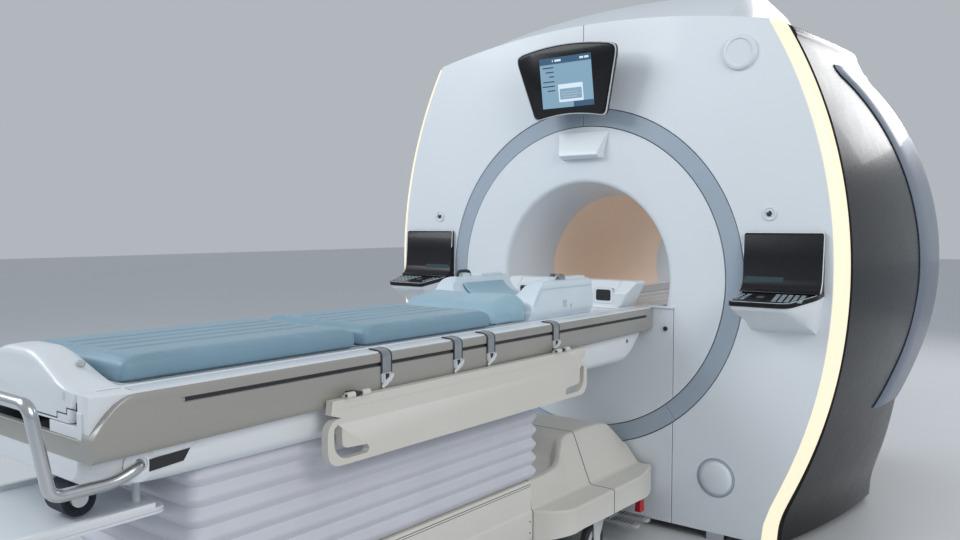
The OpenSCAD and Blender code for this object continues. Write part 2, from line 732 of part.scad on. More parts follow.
// Long cover of the base between the casings
function base_profile(inset) = let (w = base_half_w - inset) [
    [-w, base_low_z], [w, base_low_z], [w + 4, base_low_z + 12], [w + 4, base_z - 146], [w, base_z - 140],
    [w, base_z - 8 - inset], [w - 8, base_z - inset],
    [-w + 8, base_z - inset], [-w, base_z - 8 - inset], [-w, base_z - 140], [-w - 4, base_z - 146],
    [-w - 4, base_low_z + 12]];

module base_cover() {
    color(cream) difference() {
        upright(base_foot_y, base_head_y - base_foot_y) polygon(base_profile(0));
        upright(base_foot_y - 1, base_head_y - base_foot_y + 2) polygon(base_profile(base_wall));
        upright(base_foot_y - 1, base_head_y - base_foot_y + 2) translate([-base_half_w + base_wall, base_low_z - 1])
            square([2 * (base_half_w - base_wall), 20]);
        for (y = columns_y) translate([0, y, base_z - 20]) cylinder(r = column_r + 4, h = 40);
    }
}

// Casings over the casters: a shelf cut to a plan, and towers cut to a side and a front view
shelf_z = 262;
inner_low_z = 100;
tower_half_w = 206;
head_start = base_head_y + fit;
foot_start = base_foot_y - fit;
foot_end = foot_y + 4;
function whole(half) = concat(half, flipped(half));

function head_plan(t) = let (f = fender_half_w - t, y = head_start) whole([[base_half_w + 6 - t, y - t],
    [base_half_w + 6 - t, y + 2], [f - 26, y + 58], [f - 6, y + 84], [f, y + 112], [f, nose_y - 190],
    [f - 24, nose_y - 60], [f - 50, nose_y - t]]);
function head_side(t) = let (y = head_start) [[y - t, shelf_z - 60], [y - t, base_z - 2 - t],
    [y + 62, base_z - 1 - t], [y + 150, base_z + 5 - t], [y + 216, base_z + 18 - t], [y + 248, base_z + 42 - t],
    [y + 274, tower_z - 16 - t], [y + 330, tower_z - t], [nose_y - 150, tower_z - 8 - t],
    [nose_y - 104, tower_z - 28 - t], [nose_y - 40, tower_z - 82 - t], [nose_y - t, tower_z - 118 - t],
    [nose_y - t, shelf_z - 60]];
function foot_plan(t) = let (f = fender_half_w - t, y = foot_start) whole([[base_half_w + 6 - t, y + t],
    [base_half_w + 6 - t, y - 2], [f, y - 70], [f, foot_y + 90], [f - 16, foot_y + 30], [f - 46, foot_end + t]]);
function foot_side(t) = let (y = foot_start) [[y + t, shelf_z - 60], [y + t, base_z - 2 - t],
    [y - 70, base_z - 3 - t], [foot_y + 80, base_z - 8 - t], [foot_y + 30, base_z - 24 - t],
    [foot_end + t, base_z - 60 - t], [foot_end + t, shelf_z - 60]];
function straight_front(t) = whole([[base_half_w - t, shelf_z - 60], [base_half_w - t, tower_z]]);
function sloping_front(t, top) = whole([[base_half_w + 8 - t, shelf_z - 60], [base_half_w + 8 - t, shelf_z],
    [base_half_w - 8 - t, shelf_z + 38], [top - t, tower_z + 10]]);

module casing_solid(plan, side, fronts, t) {
    translate([0, 0, inner_low_z - t]) linear_extrude(shelf_z - inner_low_z) polygon(plan);
    for (q = fronts) intersection() {
        sideways(-fender_half_w, 2 * fender_half_w) polygon(side);
        upright(q[0], q[1]) polygon(q[2]);
    }
}

module head_casing() {
    split = head_start + 216;
    function fronts(t) = [[head_start - t, 216 + t, straight_front(t)],
        [split - 30, nose_y - split + 30, sloping_front(t, tower_half_w)]];
    color(cream) difference() {
        casing_solid(head_plan(0), head_side(0), fronts(0), 0);
        casing_solid(head_plan(cover_t), head_side(cover_t), fronts(cover_t), cover_t);
        sideways(-fender_half_w - 1, 2 * fender_half_w + 2) polygon([[head_start - 1, inner_low_z - 20],
            [head_start - 1, base_low_z], [head_start + 62, base_low_z + 12], [head_start + 140, base_low_z + 18],
            [nose_y - 190, base_low_z + 12], [nose_y - 50, base_low_z - 3], [nose_y + 1, base_low_z - 3],
            [nose_y + 1, inner_low_z - 20]]);
    }
}

module foot_casing() {
    function fronts(t) = [[foot_end, foot_start - foot_end + t, sloping_front(t, base_half_w - 40)]];
    color(cream) difference() {
        casing_solid(foot_plan(0), foot_side(0), fronts(0), 0);
        casing_solid(foot_plan(cover_t), foot_side(cover_t), fronts(cover_t), cover_t);
        sideways(-fender_half_w - 1, 2 * fender_half_w + 2) polygon([[foot_end - 1, inner_low_z - 20],
            [foot_end - 1, base_low_z + 14], [foot_y + 90, base_low_z + 18], [foot_start - 60, base_low_z + 16],
            [foot_start + 1, base_low_z], [foot_start + 1, inner_low_z - 20]]);
    }
}

// Telescopic columns inside the bellows
module lift_outer() {
    color(steel) for (y = columns_y) translate([0, y, column_low]) difference() {
        cylinder(r = column_r, h = column_top - column_low);
        translate([0, 0, 10]) cylinder(r = inner_r + run_gap, h = column_top);
    }
}

under_low_z = rim_z - 4 - rail_h_foot - under_h;
under_wall = 8;
column_foot_z = 330;

module lift_inner() {
    color([0.82, 0.83, 0.85]) for (y = columns_y) translate([0, y, column_foot_z])
        cylinder(r = inner_r, h = under_low_z + under_wall - column_foot_z);
}

// Foot pedals: a cross shaft with a paddle out at each side
pedal_z = 82;

module pedal(shaft, y0) {
    arm = sign(y0 - shaft[0]);
    color([0.74, 0.75, 0.77]) {
        translate([-pedal_shaft_l / 2, shaft[0], shaft[1]]) rotate([0, 90, 0])
            cylinder(d = pedal_shaft_d, h = pedal_shaft_l);
        mirrored() {
            sideways(250, 18) polygon([[shaft[0] - 12, shaft[1] - 10], [shaft[0] - 12, shaft[1] + 10],
                [shaft[0] + 12, shaft[1] + 10], [shaft[0] + 12, shaft[1] - 10], [y0 + 14, pedal_z],
                [y0 - 14, pedal_z]]);
            translate([0, 0, pedal_z - 6]) linear_extrude(12)
                polygon(rounded([[236, y0 - 21], [398, y0 - 21], [398, y0 + 21], [236, y0 + 21]], 20, 4));
        }
    }
}

module dock_pedal() {
    pedal(dock_shaft, face_y - 146);
}

module lift_pedal() {
    pedal(lift_shaft, face_y - 228);
}

// Red release lever that hangs beside the nose of the base
module dock_lever() {
    y = lever_pin[0];
    z = lever_pin[1];
    color([0.75, 0.08, 0.08]) for (x = [lever_x, -lever_x - lever_t]) difference() {
        sideways(x, lever_t) polygon(rounded([[y - 13, z + 13], [y - 13, z - 48], [y - 20, 88],
            [y + 20, 88], [y + 13, z - 48], [y + 13, z + 13]], 7, 2));
        translate([x - 1, y, z]) rotate([0, 90, 0]) cylinder(r = lever_pin_r + run_gap, h = lever_t + 2);
    }
}

// Swivelling caster fork with its stem and axle, and its wheel
axle_z = wheel_d / 2;
cheek_t = 4;
cheek_gap = 2;

module fork_at(side, i) {
    half = wheel_w / 2 + cheek_gap + cheek_t;
    color([0.60, 0.62, 0.64]) translate([side * caster_x, casters_y[i], 0]) {
        translate([0, 0, crown_z]) cylinder(r = 26, h = cross_z - crown_z - fit);
        translate([0, 0, crown_z]) cylinder(d = stem_d, h = cross_z + 29 - crown_z);
        translate([-half, -trail - 18, crown_z - 6]) cube([2 * half, trail + 40, 6]);
        for (x = [-half, half - cheek_t]) sideways(x, cheek_t)
            polygon([[-trail - 14, axle_z - 10], [-trail + 14, axle_z - 10], [22, crown_z - 3],
                [-trail - 18, crown_z - 3]]);
        translate([-half, -trail, axle_z]) rotate([0, 90, 0]) cylinder(d = axle_d, h = 2 * half);
    }
}

module wheel_at(side, i) {
    r = wheel_d / 2;
    bore = axle_d / 2 + run_gap;
    color([0.18, 0.18, 0.19]) translate([side * caster_x - wheel_w / 2, casters_y[i] - trail, axle_z])
        rotate([0, 90, 0]) rotate_extrude()
            polygon([[bore, 0], [20, 0], [22, 5], [44, 5], [46, 1], [r - 6, 0], [r, 7], [r, wheel_w - 7],
                [r - 6, wheel_w], [46, wheel_w - 1], [44, wheel_w - 5], [22, wheel_w - 5], [20, wheel_w],
                [bore, wheel_w]]);
}

module fork_head_left() { fork_at(-1, 0); }
module fork_head_right() { fork_at(1, 0); }
module fork_foot_left() { fork_at(-1, 1); }
module fork_foot_right() { fork_at(1, 1); }
module wheel_head_left() { wheel_at(-1, 0); }
module wheel_head_right() { wheel_at(1, 0); }
module wheel_foot_left() { wheel_at(-1, 1); }
module wheel_foot_right() { wheel_at(1, 1); }

// Side rails of the table top: they get lower towards the head end
rail_in = 285;
rail_curve = 96;
corner_steps = 6;
rail_top_z = rim_z - 4;
rail_low_foot = rail_top_z - rail_h_foot;
rail_low_head = rail_top_z - rail_h_head;
shell_y = foot_y + rail_curve;
corner_ys = steps(foot_y + 8, shell_y, corner_steps);
function rail_low(y) = rail_low_foot + (rail_low_head - rail_low_foot) * clamp01((y - foot_y) / table_l);
function rail_top(y) = rail_top_z - 84 * pow(1 - clamp01((y - foot_y) / rail_curve), 2);
function rail_ring(y) = let (b = rail_low(y), t = rail_top(y), w = rail_half_w) [
    [rail_in, y, b], [w - 14, y, b], [w - 2, y, b + 12], [w, y, min(b + 22, t - 8)],
    [w, y, t - 6], [w - 5, y, t], [rail_in, y, t]];

module side_rails() {
    color(taupe) {
        mirrored() difference() {
            skin([for (y = concat([foot_y + 4], corner_ys, [foot_y + table_l / 3, foot_y + table_l * 0.7, head_y])) rail_ring(y)]);
            translate([rail_half_w - 5, foot_y + 190, rim_z - 36]) cube([12, table_l - 230, 9]);
        }
        translate([-rail_in - 1, foot_y + 4, rail_low_foot]) cube([2 * rail_in + 2, 16, 42]);
    }
}

// White rim along both sides, and the corners at the foot end
rim_in = cradle_half_w + 3;

module top_shell() {
    corner = [rail_half_w - 6, rim_z];
    color(white) mirrored() {
        upright(shell_y + fit, head_y - shell_y - fit) polygon([[rim_in, rim_z - 30], [rail_in - fit, rim_z - 30],
            [rail_in - fit, rail_top_z + fit], [corner[0], rail_top_z + fit], [corner[0] - 3, rim_z],
            [rim_in + 6, rim_z + 2], [rim_in, rim_z]]);
        skin([for (y = concat(corner_ys, [shell_y + fit])) let (b = rail_top(y) + fit,
            s = (1 - clamp01((y - foot_y) / rail_curve)) * 18)
            [[rim_in, y, b], [corner[0] - s, y, b], [corner[0] - s, y, rim_z - 3], [corner[0] - 5 - s, y, rim_z],
                [rim_in, y, rim_z]]]);
    }
}

// Under-cover: a long tray that slopes up to the rails at the head end
function under_ring(y, narrow, lift, inset) = let (w = under_half_w - narrow - inset, top = rail_low(y) - fit,
    low = under_low_z + lift + inset) [
    [-w + 26, y, low], [w - 26, y, low], [w, y, low + 22], [w, y, top + inset], [-w, y, top + inset], [-w, y, low + 22]];

module under_cover() {
    outer = [[foot_y + 6, 34, 30], [foot_y + 60, 10, 8], [foot_y + 200, 0, 0], [head_y - 170, 0, 0],
        [head_y - 110, 0, 20], [head_y - 44, 0, 78]];
    inner = [[foot_y + 16, 34, 30], [foot_y + 64, 10, 8], [foot_y + 200, 0, 0], [head_y - 170, 0, 0],
        [head_y - 114, 0, 20], [head_y - 56, 0, 70]];
    color(white) difference() {
        skin([for (s = outer) under_ring(s[0], s[1], s[2], 0)]);
        skin([for (s = inner) under_ring(s[0], s[1], s[2], under_wall)]);
        mirrored() translate([handle_root_x + 10, handle_entry - 24, under_low_z + 20]) cube([60, 48, 120]);
        for (y = columns_y) translate([0, y, under_low_z - 1]) cylinder(r = inner_r + fit, h = under_wall + 2);
    }
}

// Welded frame inside the under-cover, with the rails that the cradle runs on
module top_frame() {
    z = under_low_z + under_wall;
    y0 = foot_y + 260;
    y1 = head_y - 180;
    color(dark_steel) {
        for (s = [-1, 1]) translate([s * 240 - 16, y0, z]) cube([32, y1 - y0, 50]);
        for (y = [y0, columns_y[1] - 60, columns_y[0] - 60, y1 - 40]) translate([-250, y, z])
            cube([500, y == y0 || y == y1 - 40 ? 40 : 120, 40]);
        for (s = [-1, 1]) translate([s * 150 - 8, foot_y + 30, z + 40]) cube([16, table_l - 140, cradle_low_z - z - 40]);
        for (s = [-1, 1]) translate([s * 240 - 16, handle_entry - 20, z + 18])
            cube([32, y0 - handle_entry + 30, 32]);
        mirrored() for (y = [y0, y1 - 40]) translate([232, y, z + 40]) cube([56, 40, rail_low(y) - z - 40]);
    }
}

handle_x = rail_half_w - 26;
handle_root_x = 256;
handle_entry = foot_y + 118;

module push_handle() {
    low = under_low_z + handle_d + 2;
    reach = foot_y - handle_out;
    side = [[handle_root_x, handle_entry, low + 22], [handle_x, handle_entry, low + 22],
        [handle_x, handle_entry - 60, low], [handle_x, reach + 34, low], [handle_x, reach, rim_z + 2]];
    color([0.80, 0.82, 0.85]) bar(bent(concat(side,
        [for (p = reversed(side)) [-p[0], p[1], p[2]]]), 24), handle_d / 2);
}

// Side guards with a hand grip at each lower corner, hinged along their top edge
guard_x = 338;
guard_top_z = rim_z - 95;
hinge_x = guard_x + guard_t + 2;
hinge_z = guard_top_z + 8;
guard_y1 = face_y - guard_y;
guard_y0 = guard_y1 - guard_l;
hinge_ys = [guard_y0 + 96, guard_y1 - 160];
knuckle_l = 26;
arm_l = 24;
knuckle_r = guard_pin_d / 2 + 4;

// Slot for the fingers that follows a lower corner of the guard
module grip(y, s) {
    c = [y + s * 64, guard_top_z - guard_h + 58];
    arc = steps(170, 268, 6);
    outer = [for (a = arc) c + 44 * [s * cos(a), sin(a)]];
    inner = [for (a = reversed(arc)) c + 18 * [s * cos(a), sin(a)]];
    polygon(concat([c + [-s * 44, 34]], outer, [c + [s * 66, -44], c + [s * 74, -34], c + [s * 66, -22]], inner,
        [c + [-s * 18, 34], c + [-s * 31, 44]]));
}

module guard() {
    low = guard_top_z - guard_h;
    difference() {
        union() {
            sideways(guard_x, guard_t) difference() {
                polygon(concat([[guard_y0 + 16, guard_top_z], [guard_y0 + 12, guard_top_z - 34]],
                    rounded([[guard_y0, guard_top_z - 44], [guard_y0, low], [guard_y1, low],
                        [guard_y1, guard_top_z - 44]], 44, 6),
                    [[guard_y1 - 12, guard_top_z - 34], [guard_y1 - 16, guard_top_z]]));
                grip(guard_y0, 1);
                grip(guard_y1, -1);
            }
            for (y = hinge_ys, s = [-1, 1]) translate([hinge_x, y + s * (arm_l + knuckle_l + 1) / 2 - knuckle_l / 2, hinge_z])
                rotate([-90, 0, 0]) {
                    cylinder(r = knuckle_r, h = knuckle_l);
                    translate([-14, 0, 0]) cube([14, 14, knuckle_l]);
                }
        }
        for (y = hinge_ys) translate([hinge_x, y - 60, hinge_z]) rotate([-90, 0, 0])
            cylinder(r = guard_pin_d / 2 + run_gap, h = 120);
    }
}

module guard_right() { color(cream) guard(); }
module guard_left() { color(cream) mirror([1, 0, 0]) guard(); }

// Hinge arms on the side rails, each with its pin
module guard_hinges() {
    color(black) mirrored() for (y = hinge_ys) {
        translate([rail_half_w, y - arm_l / 2, hinge_z - 4]) cube([hinge_x - rail_half_w, arm_l, 8]);
        translate([hinge_x, y - arm_l / 2 - knuckle_l, hinge_z]) rotate([-90, 0, 0])
            cylinder(r = guard_pin_d / 2, h = arm_l + 2 * knuckle_l);
    }
}

// Pleated bellows round the columns
bellows_top = under_low_z - fit;
bellows_bot = base_z + fit;
function bellows_ring(z, inset) = [for (p = rounded([[-bellows_half_w + inset, bellows_y0 + inset],
    [bellows_half_w - inset, bellows_y0 + inset], [bellows_half_w - inset, bellows_y1 - inset],
    [-bellows_half_w + inset, bellows_y1 - inset]], 30, 3)) [p[0], p[1], z]];

module bellows() {
    n = 2 * pleats;
    color([0.90, 0.90, 0.92]) difference() {
        skin([for (i = [0:n]) bellows_ring(bellows_bot + (bellows_top - bellows_bot) * i / n, i % 2 == 0 ? pleat_d : 0)]);
        skin([for (i = [0:n]) bellows_ring(bellows_bot - 1 + (bellows_top - bellows_bot + 2) * i / n,
            (i % 2 == 0 ? pleat_d : 0) + 5)]);
    }
}

// Restraint straps over the rails, and the hooks at their ends
strap_ys = [face_y - 1505, face_y - 1215, face_y - 1060, face_y - 705];
strap_w = 40;
strap_x = rail_half_w + fit;

module straps() {
    color([0.42, 0.44, 0.47]) mirrored() for (y = strap_ys) upright(y - strap_w / 2, strap_w)
        polygon([[286, rim_z + 5.3], [286, rim_z + 2.3], [322, rim_z + 0.6], [strap_x, rim_z - 7],
            [strap_x, rim_z - 62], [strap_x + 3, rim_z - 62], [strap_x + 3, rim_z - 6], [323.5, rim_z + 3.6]]);
}

module strap_hooks() {
    color(steel) mirrored() for (y = strap_ys) translate([strap_x, y - 17, rim_z - 80])
        cube([5, 34, 18 - fit]);
}

// Tray under the foot end, hung from two struts
tray_z = under_low_z - 98;
tray_t = 14;
strut_r = 9;

module foot_tray() {
    y0 = foot_y - 112;
    y1 = foot_y + 236;
    color(white) {
        translate([0, 0, tray_z]) linear_extrude(tray_t)
            polygon(rounded([[-200, y0], [200, y0], [200, y1], [-200, y1]], 30, 4));
        mirrored() translate([186, y0 + 30, tray_z + tray_t]) cube([14, y1 - y0 - 60, 12]);
        mirrored() translate([120, foot_y + 206, tray_z + tray_t - 2])
            cylinder(r = strut_r, h = under_low_z - tray_z - tray_t + 2);
    }
}

module strap_roll() {
    color(black) translate([60, foot_y + 70, tray_z + tray_t + fit + 42]) rotate([0, 90, 0]) rotate_extrude()
        polygon([[0, -2], [18, -2], [18, 2], [42, 2], [42, 78], [18, 78], [18, 82], [0, 82]]);
}

// Cradle with its arched foot cap
cradle_top_z = rim_z - 2;
cap_y = foot_y + 8;
cap_l = 96;

module cradle() {
    w = cradle_half_w;
    low = cradle_low_z;
    color(white) {
        upright(cap_y + 50, head_y - 10 - cap_y - 50) polygon([[-w + 28, low], [w - 28, low], [w, rim_z - 12],
            [w, rim_z + 2], [w - 9, rim_z + 2], [w - 12, cradle_top_z], [-w + 12, cradle_top_z],
            [-w + 9, rim_z + 2], [-w, rim_z + 2], [-w, rim_z - 12]]);
        skin([for (q = [[cap_y, 52, 0.90], [cap_y + 12, 66, 0.96], [cap_y + 50, 74, 1], [cap_y + cap_l - 6, 62, 1],
            [cap_y + cap_l, 54, 0.99]])
            concat([[-w * q[2] + 28, q[0], low], [w * q[2] - 28, q[0], low], [w * q[2], q[0], rim_z - 12]],
                [for (t = steps(0.97, -0.97, 12)) [w * q[2] * t, q[0], rim_z - 2 + q[1] * pow(cos(90 * t), 0.9)]],
                [[-w * q[2], q[0], rim_z - 12]])]);
    }
}

// Mattress in two sections, and the wedge cushion in front of the coil
pad_half_w = 236;
pad_split_y = face_y - 1490;
pad_head_y = face_y - 900;
pad_low = cradle_top_z + fit;
coil_y0 = face_y - 700;
coil_y1 = face_y - 300;

module pad(y0, y1) {
    skin([for (q = [[y0, 12, 8], [y0 + 18, 0, 0], [y1 - 18, 0, 0], [y1, 12, 8]])
        [for (p = rounded([[-pad_half_w + q[1], pad_low + q[2] * 0.3], [pad_half_w - q[1], pad_low + q[2] * 0.3],
            [pad_half_w - q[1], pad_low + pad_h - q[2]], [-pad_half_w + q[1], pad_low + pad_h - q[2]]], 10, 3))
            [p[0], q[0], p[1]]]]);
}

module mattress() {
    color([0.45, 0.60, 0.72]) {
        pad(cap_y + cap_l + 8, pad_split_y - 2);
        pad(pad_split_y + 2, pad_head_y);
        sideways(-215, 430) polygon([[pad_head_y + 6, pad_low], [coil_y0 - 6, pad_low],
            [coil_y0 - 6, pad_low + 92], [pad_head_y + 40, pad_low + 66], [pad_head_y + 6, pad_low + 50]]);
    }
}

// Base of the head coil: a trough between two high cheeks
module head_coil() {
    w = 236;
    color(white) upright(coil_y0, coil_y1 - coil_y0) polygon(concat(
        [[-w + 16, pad_low], [w - 16, pad_low], [w, pad_low + 24], [w - 6, pad_low + 122], [w - 20, pad_low + 132],
            [w - 60, pad_low + 132]],
        [for (a = steps(10, 170, 10)) [(w - 72) * cos(a), pad_low + 132 - 96 * sin(a)]],
        [[-w + 60, pad_low + 132], [-w + 20, pad_low + 132], [-w + 6, pad_low + 122], [-w, pad_low + 24]]));
}

// Coil connectors across the head end of the cradle
module connector_block() {
    y1 = head_y - 14;
    top = rim_z + 106;
    seat = cradle_half_w - 14;
    color(white) difference() {
        upright(y1 - 120, 120) polygon([[-seat, pad_low], [seat, pad_low], [seat, rim_z + 3], [262, rim_z + 14], [306, top - 8],
            [300, top], [-300, top], [-306, top - 8], [-262, rim_z + 14], [-seat, rim_z + 3]]);
        mirrored() translate([150, y1 - 121, pad_low + 26]) cube([70, 40, 52]);
        sideways(-400, 800) polygon([[y1 - 121, top + 1], [y1 - 121, pad_low + 60], [y1 - 70, top + 1]]);
    }
}

front_cover();
dock_panel();
ring_trim();
bell_mouth();
bore_tube();
body_coil();
gradient_coil();
cryostat();
cold_head();
floor_frame();
cover_frame();
rear_cover();
top_cover();
side_cover_left();
side_cover_right();
side_wings();
light_strips();
display_housing();
display_screen();
display_bracket();
console_trays();
console_panels();
face_fittings();
pod_cover();
bore_bridge();
dock_receiver();
base_frame();
base_cover();
head_casing();
foot_casing();
lift_outer();
dock_lever();
dock_pedal();
lift_pedal();
fork_head_left();
fork_head_right();
fork_foot_left();
fork_foot_right();
wheel_head_left();
wheel_head_right();
wheel_foot_left();
wheel_foot_right();
lift_inner();
top_frame();
side_rails();
top_shell();
under_cover();
push_handle();
guard_hinges();
guard_left();
guard_right();
bellows();
straps();
strap_hooks();
foot_tray();
strap_roll();
cradle();
mattress();
head_coil();
connector_block();
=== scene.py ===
import json
import math

import bmesh
import bpy
import numpy as np
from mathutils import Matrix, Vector

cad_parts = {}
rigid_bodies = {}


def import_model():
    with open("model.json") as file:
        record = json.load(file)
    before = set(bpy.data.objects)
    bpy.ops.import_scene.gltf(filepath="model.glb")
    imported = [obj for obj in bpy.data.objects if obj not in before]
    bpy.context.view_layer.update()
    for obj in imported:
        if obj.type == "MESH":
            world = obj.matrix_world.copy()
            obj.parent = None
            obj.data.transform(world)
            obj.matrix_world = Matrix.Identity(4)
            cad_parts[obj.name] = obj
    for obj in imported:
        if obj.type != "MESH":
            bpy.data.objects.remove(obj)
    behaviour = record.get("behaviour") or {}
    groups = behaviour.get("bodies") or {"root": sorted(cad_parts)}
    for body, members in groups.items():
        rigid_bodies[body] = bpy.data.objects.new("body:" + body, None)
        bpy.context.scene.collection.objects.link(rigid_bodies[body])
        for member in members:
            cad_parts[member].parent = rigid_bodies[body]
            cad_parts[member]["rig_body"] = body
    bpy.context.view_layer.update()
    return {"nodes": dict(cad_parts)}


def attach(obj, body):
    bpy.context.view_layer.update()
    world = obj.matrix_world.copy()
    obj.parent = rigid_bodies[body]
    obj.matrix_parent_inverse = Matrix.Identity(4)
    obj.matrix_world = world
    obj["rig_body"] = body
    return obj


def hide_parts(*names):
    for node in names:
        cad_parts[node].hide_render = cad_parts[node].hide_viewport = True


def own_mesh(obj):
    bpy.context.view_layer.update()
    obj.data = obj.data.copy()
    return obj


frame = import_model()
nodes = frame["nodes"]
scene = bpy.context.scene

# Sizes are in millimetres and are turned into metres when a mesh is made
MM = 0.001
FACE_Y = -850.0
REAR_Y = 850.0
AXIS_H = 1000.0
HEAD_Y = FACE_Y - 6
FOOT_Y = HEAD_Y - 2284
COVER_T = 12.0
SEAT = 0.3

CAMERA_AT = (1.8845, -3.9262, 1.2174)
CAMERA_YAW = 0.6692
CAMERA_PITCH = 0.0531
LENS_MM = 31.93
SENSOR_MM = 36.0


def make_camera():
    data = bpy.data.cameras.new("camera")
    data.lens = LENS_MM
    data.sensor_width = SENSOR_MM
    cam = bpy.data.objects.new("camera", data)
    scene.collection.objects.link(cam)
    cam.location = CAMERA_AT
    ahead = Vector((-math.sin(CAMERA_YAW) * math.cos(CAMERA_PITCH),
                    math.cos(CAMERA_YAW) * math.cos(CAMERA_PITCH), -math.sin(CAMERA_PITCH)))
    cam.rotation_mode = "QUATERNION"
    cam.rotation_quaternion = ahead.to_track_quat("-Z", "Y")
    scene.camera = cam


def area_light(name, at, towards, size, watts, colour=(1, 1, 1)):
    data = bpy.data.lights.new(name, "AREA")
    data.shape = "RECTANGLE"
    data.size, data.size_y = size
    data.energy = watts
    data.color = colour
    lamp = bpy.data.objects.new(name, data)
    scene.collection.objects.link(lamp)
    lamp.location = at
    lamp.rotation_mode = "QUATERNION"
    lamp.rotation_quaternion = (Vector(towards) - Vector(at)).to_track_quat("-Z", "Y")


# Shapes: each is a list of points and a list of faces

def steps(a, b, n):
    return [a + (b - a) * i / n for i in range(n + 1)]


def ease(t):
    t = min(1.0, max(0.0, t))
    return t * t * (3 - 2 * t)


def spread(table, t):
    """Values of a table of rows (position, value...) at t, on a smooth curve that never overshoots."""
    xs = [row[0] for row in table]
    if t <= xs[0]:
        return list(table[0][1:])
    if t >= xs[-1]:
        return list(table[-1][1:])
    i = max(k for k in range(len(xs) - 1) if xs[k] <= t)
    h = xs[i + 1] - xs[i]
    u = (t - xs[i]) / h
    out = []
    for c in range(1, len(table[0])):
        d = [(table[k + 1][c] - table[k][c]) / (xs[k + 1] - xs[k]) for k in range(len(xs) - 1)]

        def slope(k):
            if k == 0:
                return d[0]
            if k == len(xs) - 1:
                return d[-1]
            a, b = d[k - 1], d[k]
            return 0.0 if a * b <= 0 else 2 * a * b / (a + b)

        m0, m1 = slope(i) * h, slope(i + 1) * h
        y0, y1 = table[i][c], table[i + 1][c]
        out.append((2 * u ** 3 - 3 * u ** 2 + 1) * y0 + (u ** 3 - 2 * u ** 2 + u) * m0
                   + (-2 * u ** 3 + 3 * u ** 2) * y1 + (u ** 3 - u ** 2) * m1)
    return out


def rounded(points, radius, n=4):
    """Closed outline with rounded corners. radius is one number or one for each corner."""
    out = []
    m = len(points)
    for i, p in enumerate(points):
        r = radius[i] if hasattr(radius, "__len__") else radius
        p = Vector(p)
        if r <= 0:
            out.append(tuple(p))
            continue
        a, b = Vector(points[i - 1]) - p, Vector(points[(i + 1) % m]) - p
        s = p + a.normalized() * min(r, a.length * 0.48)
        e = p + b.normalized() * min(r, b.length * 0.48)
        for t in steps(0, 1, n):
            out.append(tuple(s * (1 - t) ** 2 + p * (2 * t * (1 - t)) + e * t * t))
    return out


def bent(points, radius, n=8):
    """Open path with rounded inner corners."""
    out = [tuple(points[0])]
    for i in range(1, len(points) - 1):
        p = Vector(points[i])
        a, b = Vector(points[i - 1]) - p, Vector(points[i + 1]) - p
        s = p + a.normalized() * min(radius, a.length * 0.48)
        e = p + b.normalized() * min(radius, b.length * 0.48)
        for t in steps(0, 1, n):
            out.append(tuple(s * (1 - t) ** 2 + p * (2 * t * (1 - t)) + e * t * t))
    out.append(tuple(points[-1]))
    return out


def loft(rings, closed=True, caps=True):
    """Skin over rings with the same number of points each."""
    n = len(rings[0])
    verts = [tuple(p) for ring in rings for p in ring]
    last = n if closed else n - 1
    faces = [(i * n + j, (i + 1) * n + j, (i + 1) * n + (j + 1) % n, i * n + (j + 1) % n)
             for i in range(len(rings) - 1) for j in range(last)]
    if caps:
        faces.append(tuple(range(n)))
        faces.append(tuple(reversed(range((len(rings) - 1) * n, len(rings) * n))))
    return verts, faces


def merged(*shapes):
    verts, faces = [], []
    for v, f in shapes:
        base = len(verts)
        verts += list(v)
        faces += [tuple(i + base for i in face) for face in f]
    return verts, faces


def mirrored(shape):
    """The shape and its twin on the other side."""
    return merged(shape, flipped(shape))


def flipped(shape):
    """The same shape on the other side of x = 0."""
    verts, faces = shape
    return [(-x, y, z) for x, y, z in verts], [tuple(reversed(f)) for f in faces]


def rectangle(x0, z0, x1, z1):
    return [(x0, z0), (x1, z0), (x1, z1), (x0, z1)]


def at_y(outline, y):
    return [(x, y, z) for x, z in outline]


def prism(outline, low, high, plane="xz"):
    """Outline drawn in a plane and carried along the third axis from low to high."""
    def at(p, d):
        return {"xz": (p[0], d, p[1]), "yz": (d, p[0], p[1]), "xy": (p[0], p[1], d)}[plane]
    return loft([[at(p, low) for p in outline], [at(p, high) for p in outline]])


def block(x0, y0, z0, x1, y1, z1):
    return prism(rectangle(x0, z0, x1, z1), y0, y1)


def spin(profile, centre, axis, n=64, turn=360.0):
    """Body of revolution: the profile is a list of (radius, distance along the axis)."""
    c, a = Vector(centre), Vector(axis).normalized()
    u = a.orthogonal().normalized()
    v = a.cross(u)
    count = n if turn >= 360 else n + 1
    rings = []
    for i in range(count):
        t = math.radians(turn) * i / n
        d = u * math.cos(t) + v * math.sin(t)
        rings.append([tuple(c + a * h + d * r) for r, h in profile])
    if turn >= 360:
        rings.append(rings[0])
    return loft(rings, closed=True, caps=turn < 360)


def bar(path, radius, sides=16, caps=True):
    """Round bar along a path; radius is one number or one for each point."""
    pts = [Vector(p) for p in path]
    rings, side = [], None
    for i, p in enumerate(pts):
        t = (pts[min(i + 1, len(pts) - 1)] - pts[max(i - 1, 0)]).normalized()
        side = t.orthogonal() if side is None else side - t * side.dot(t)
        side.normalize()
        other = t.cross(side)
        r = radius[i] if hasattr(radius, "__len__") else radius
        rings.append([tuple(p + side * r * math.cos(2 * math.pi * j / sides)
                            + other * r * math.sin(2 * math.pi * j / sides)) for j in range(sides)])
    return loft(rings, caps=caps)


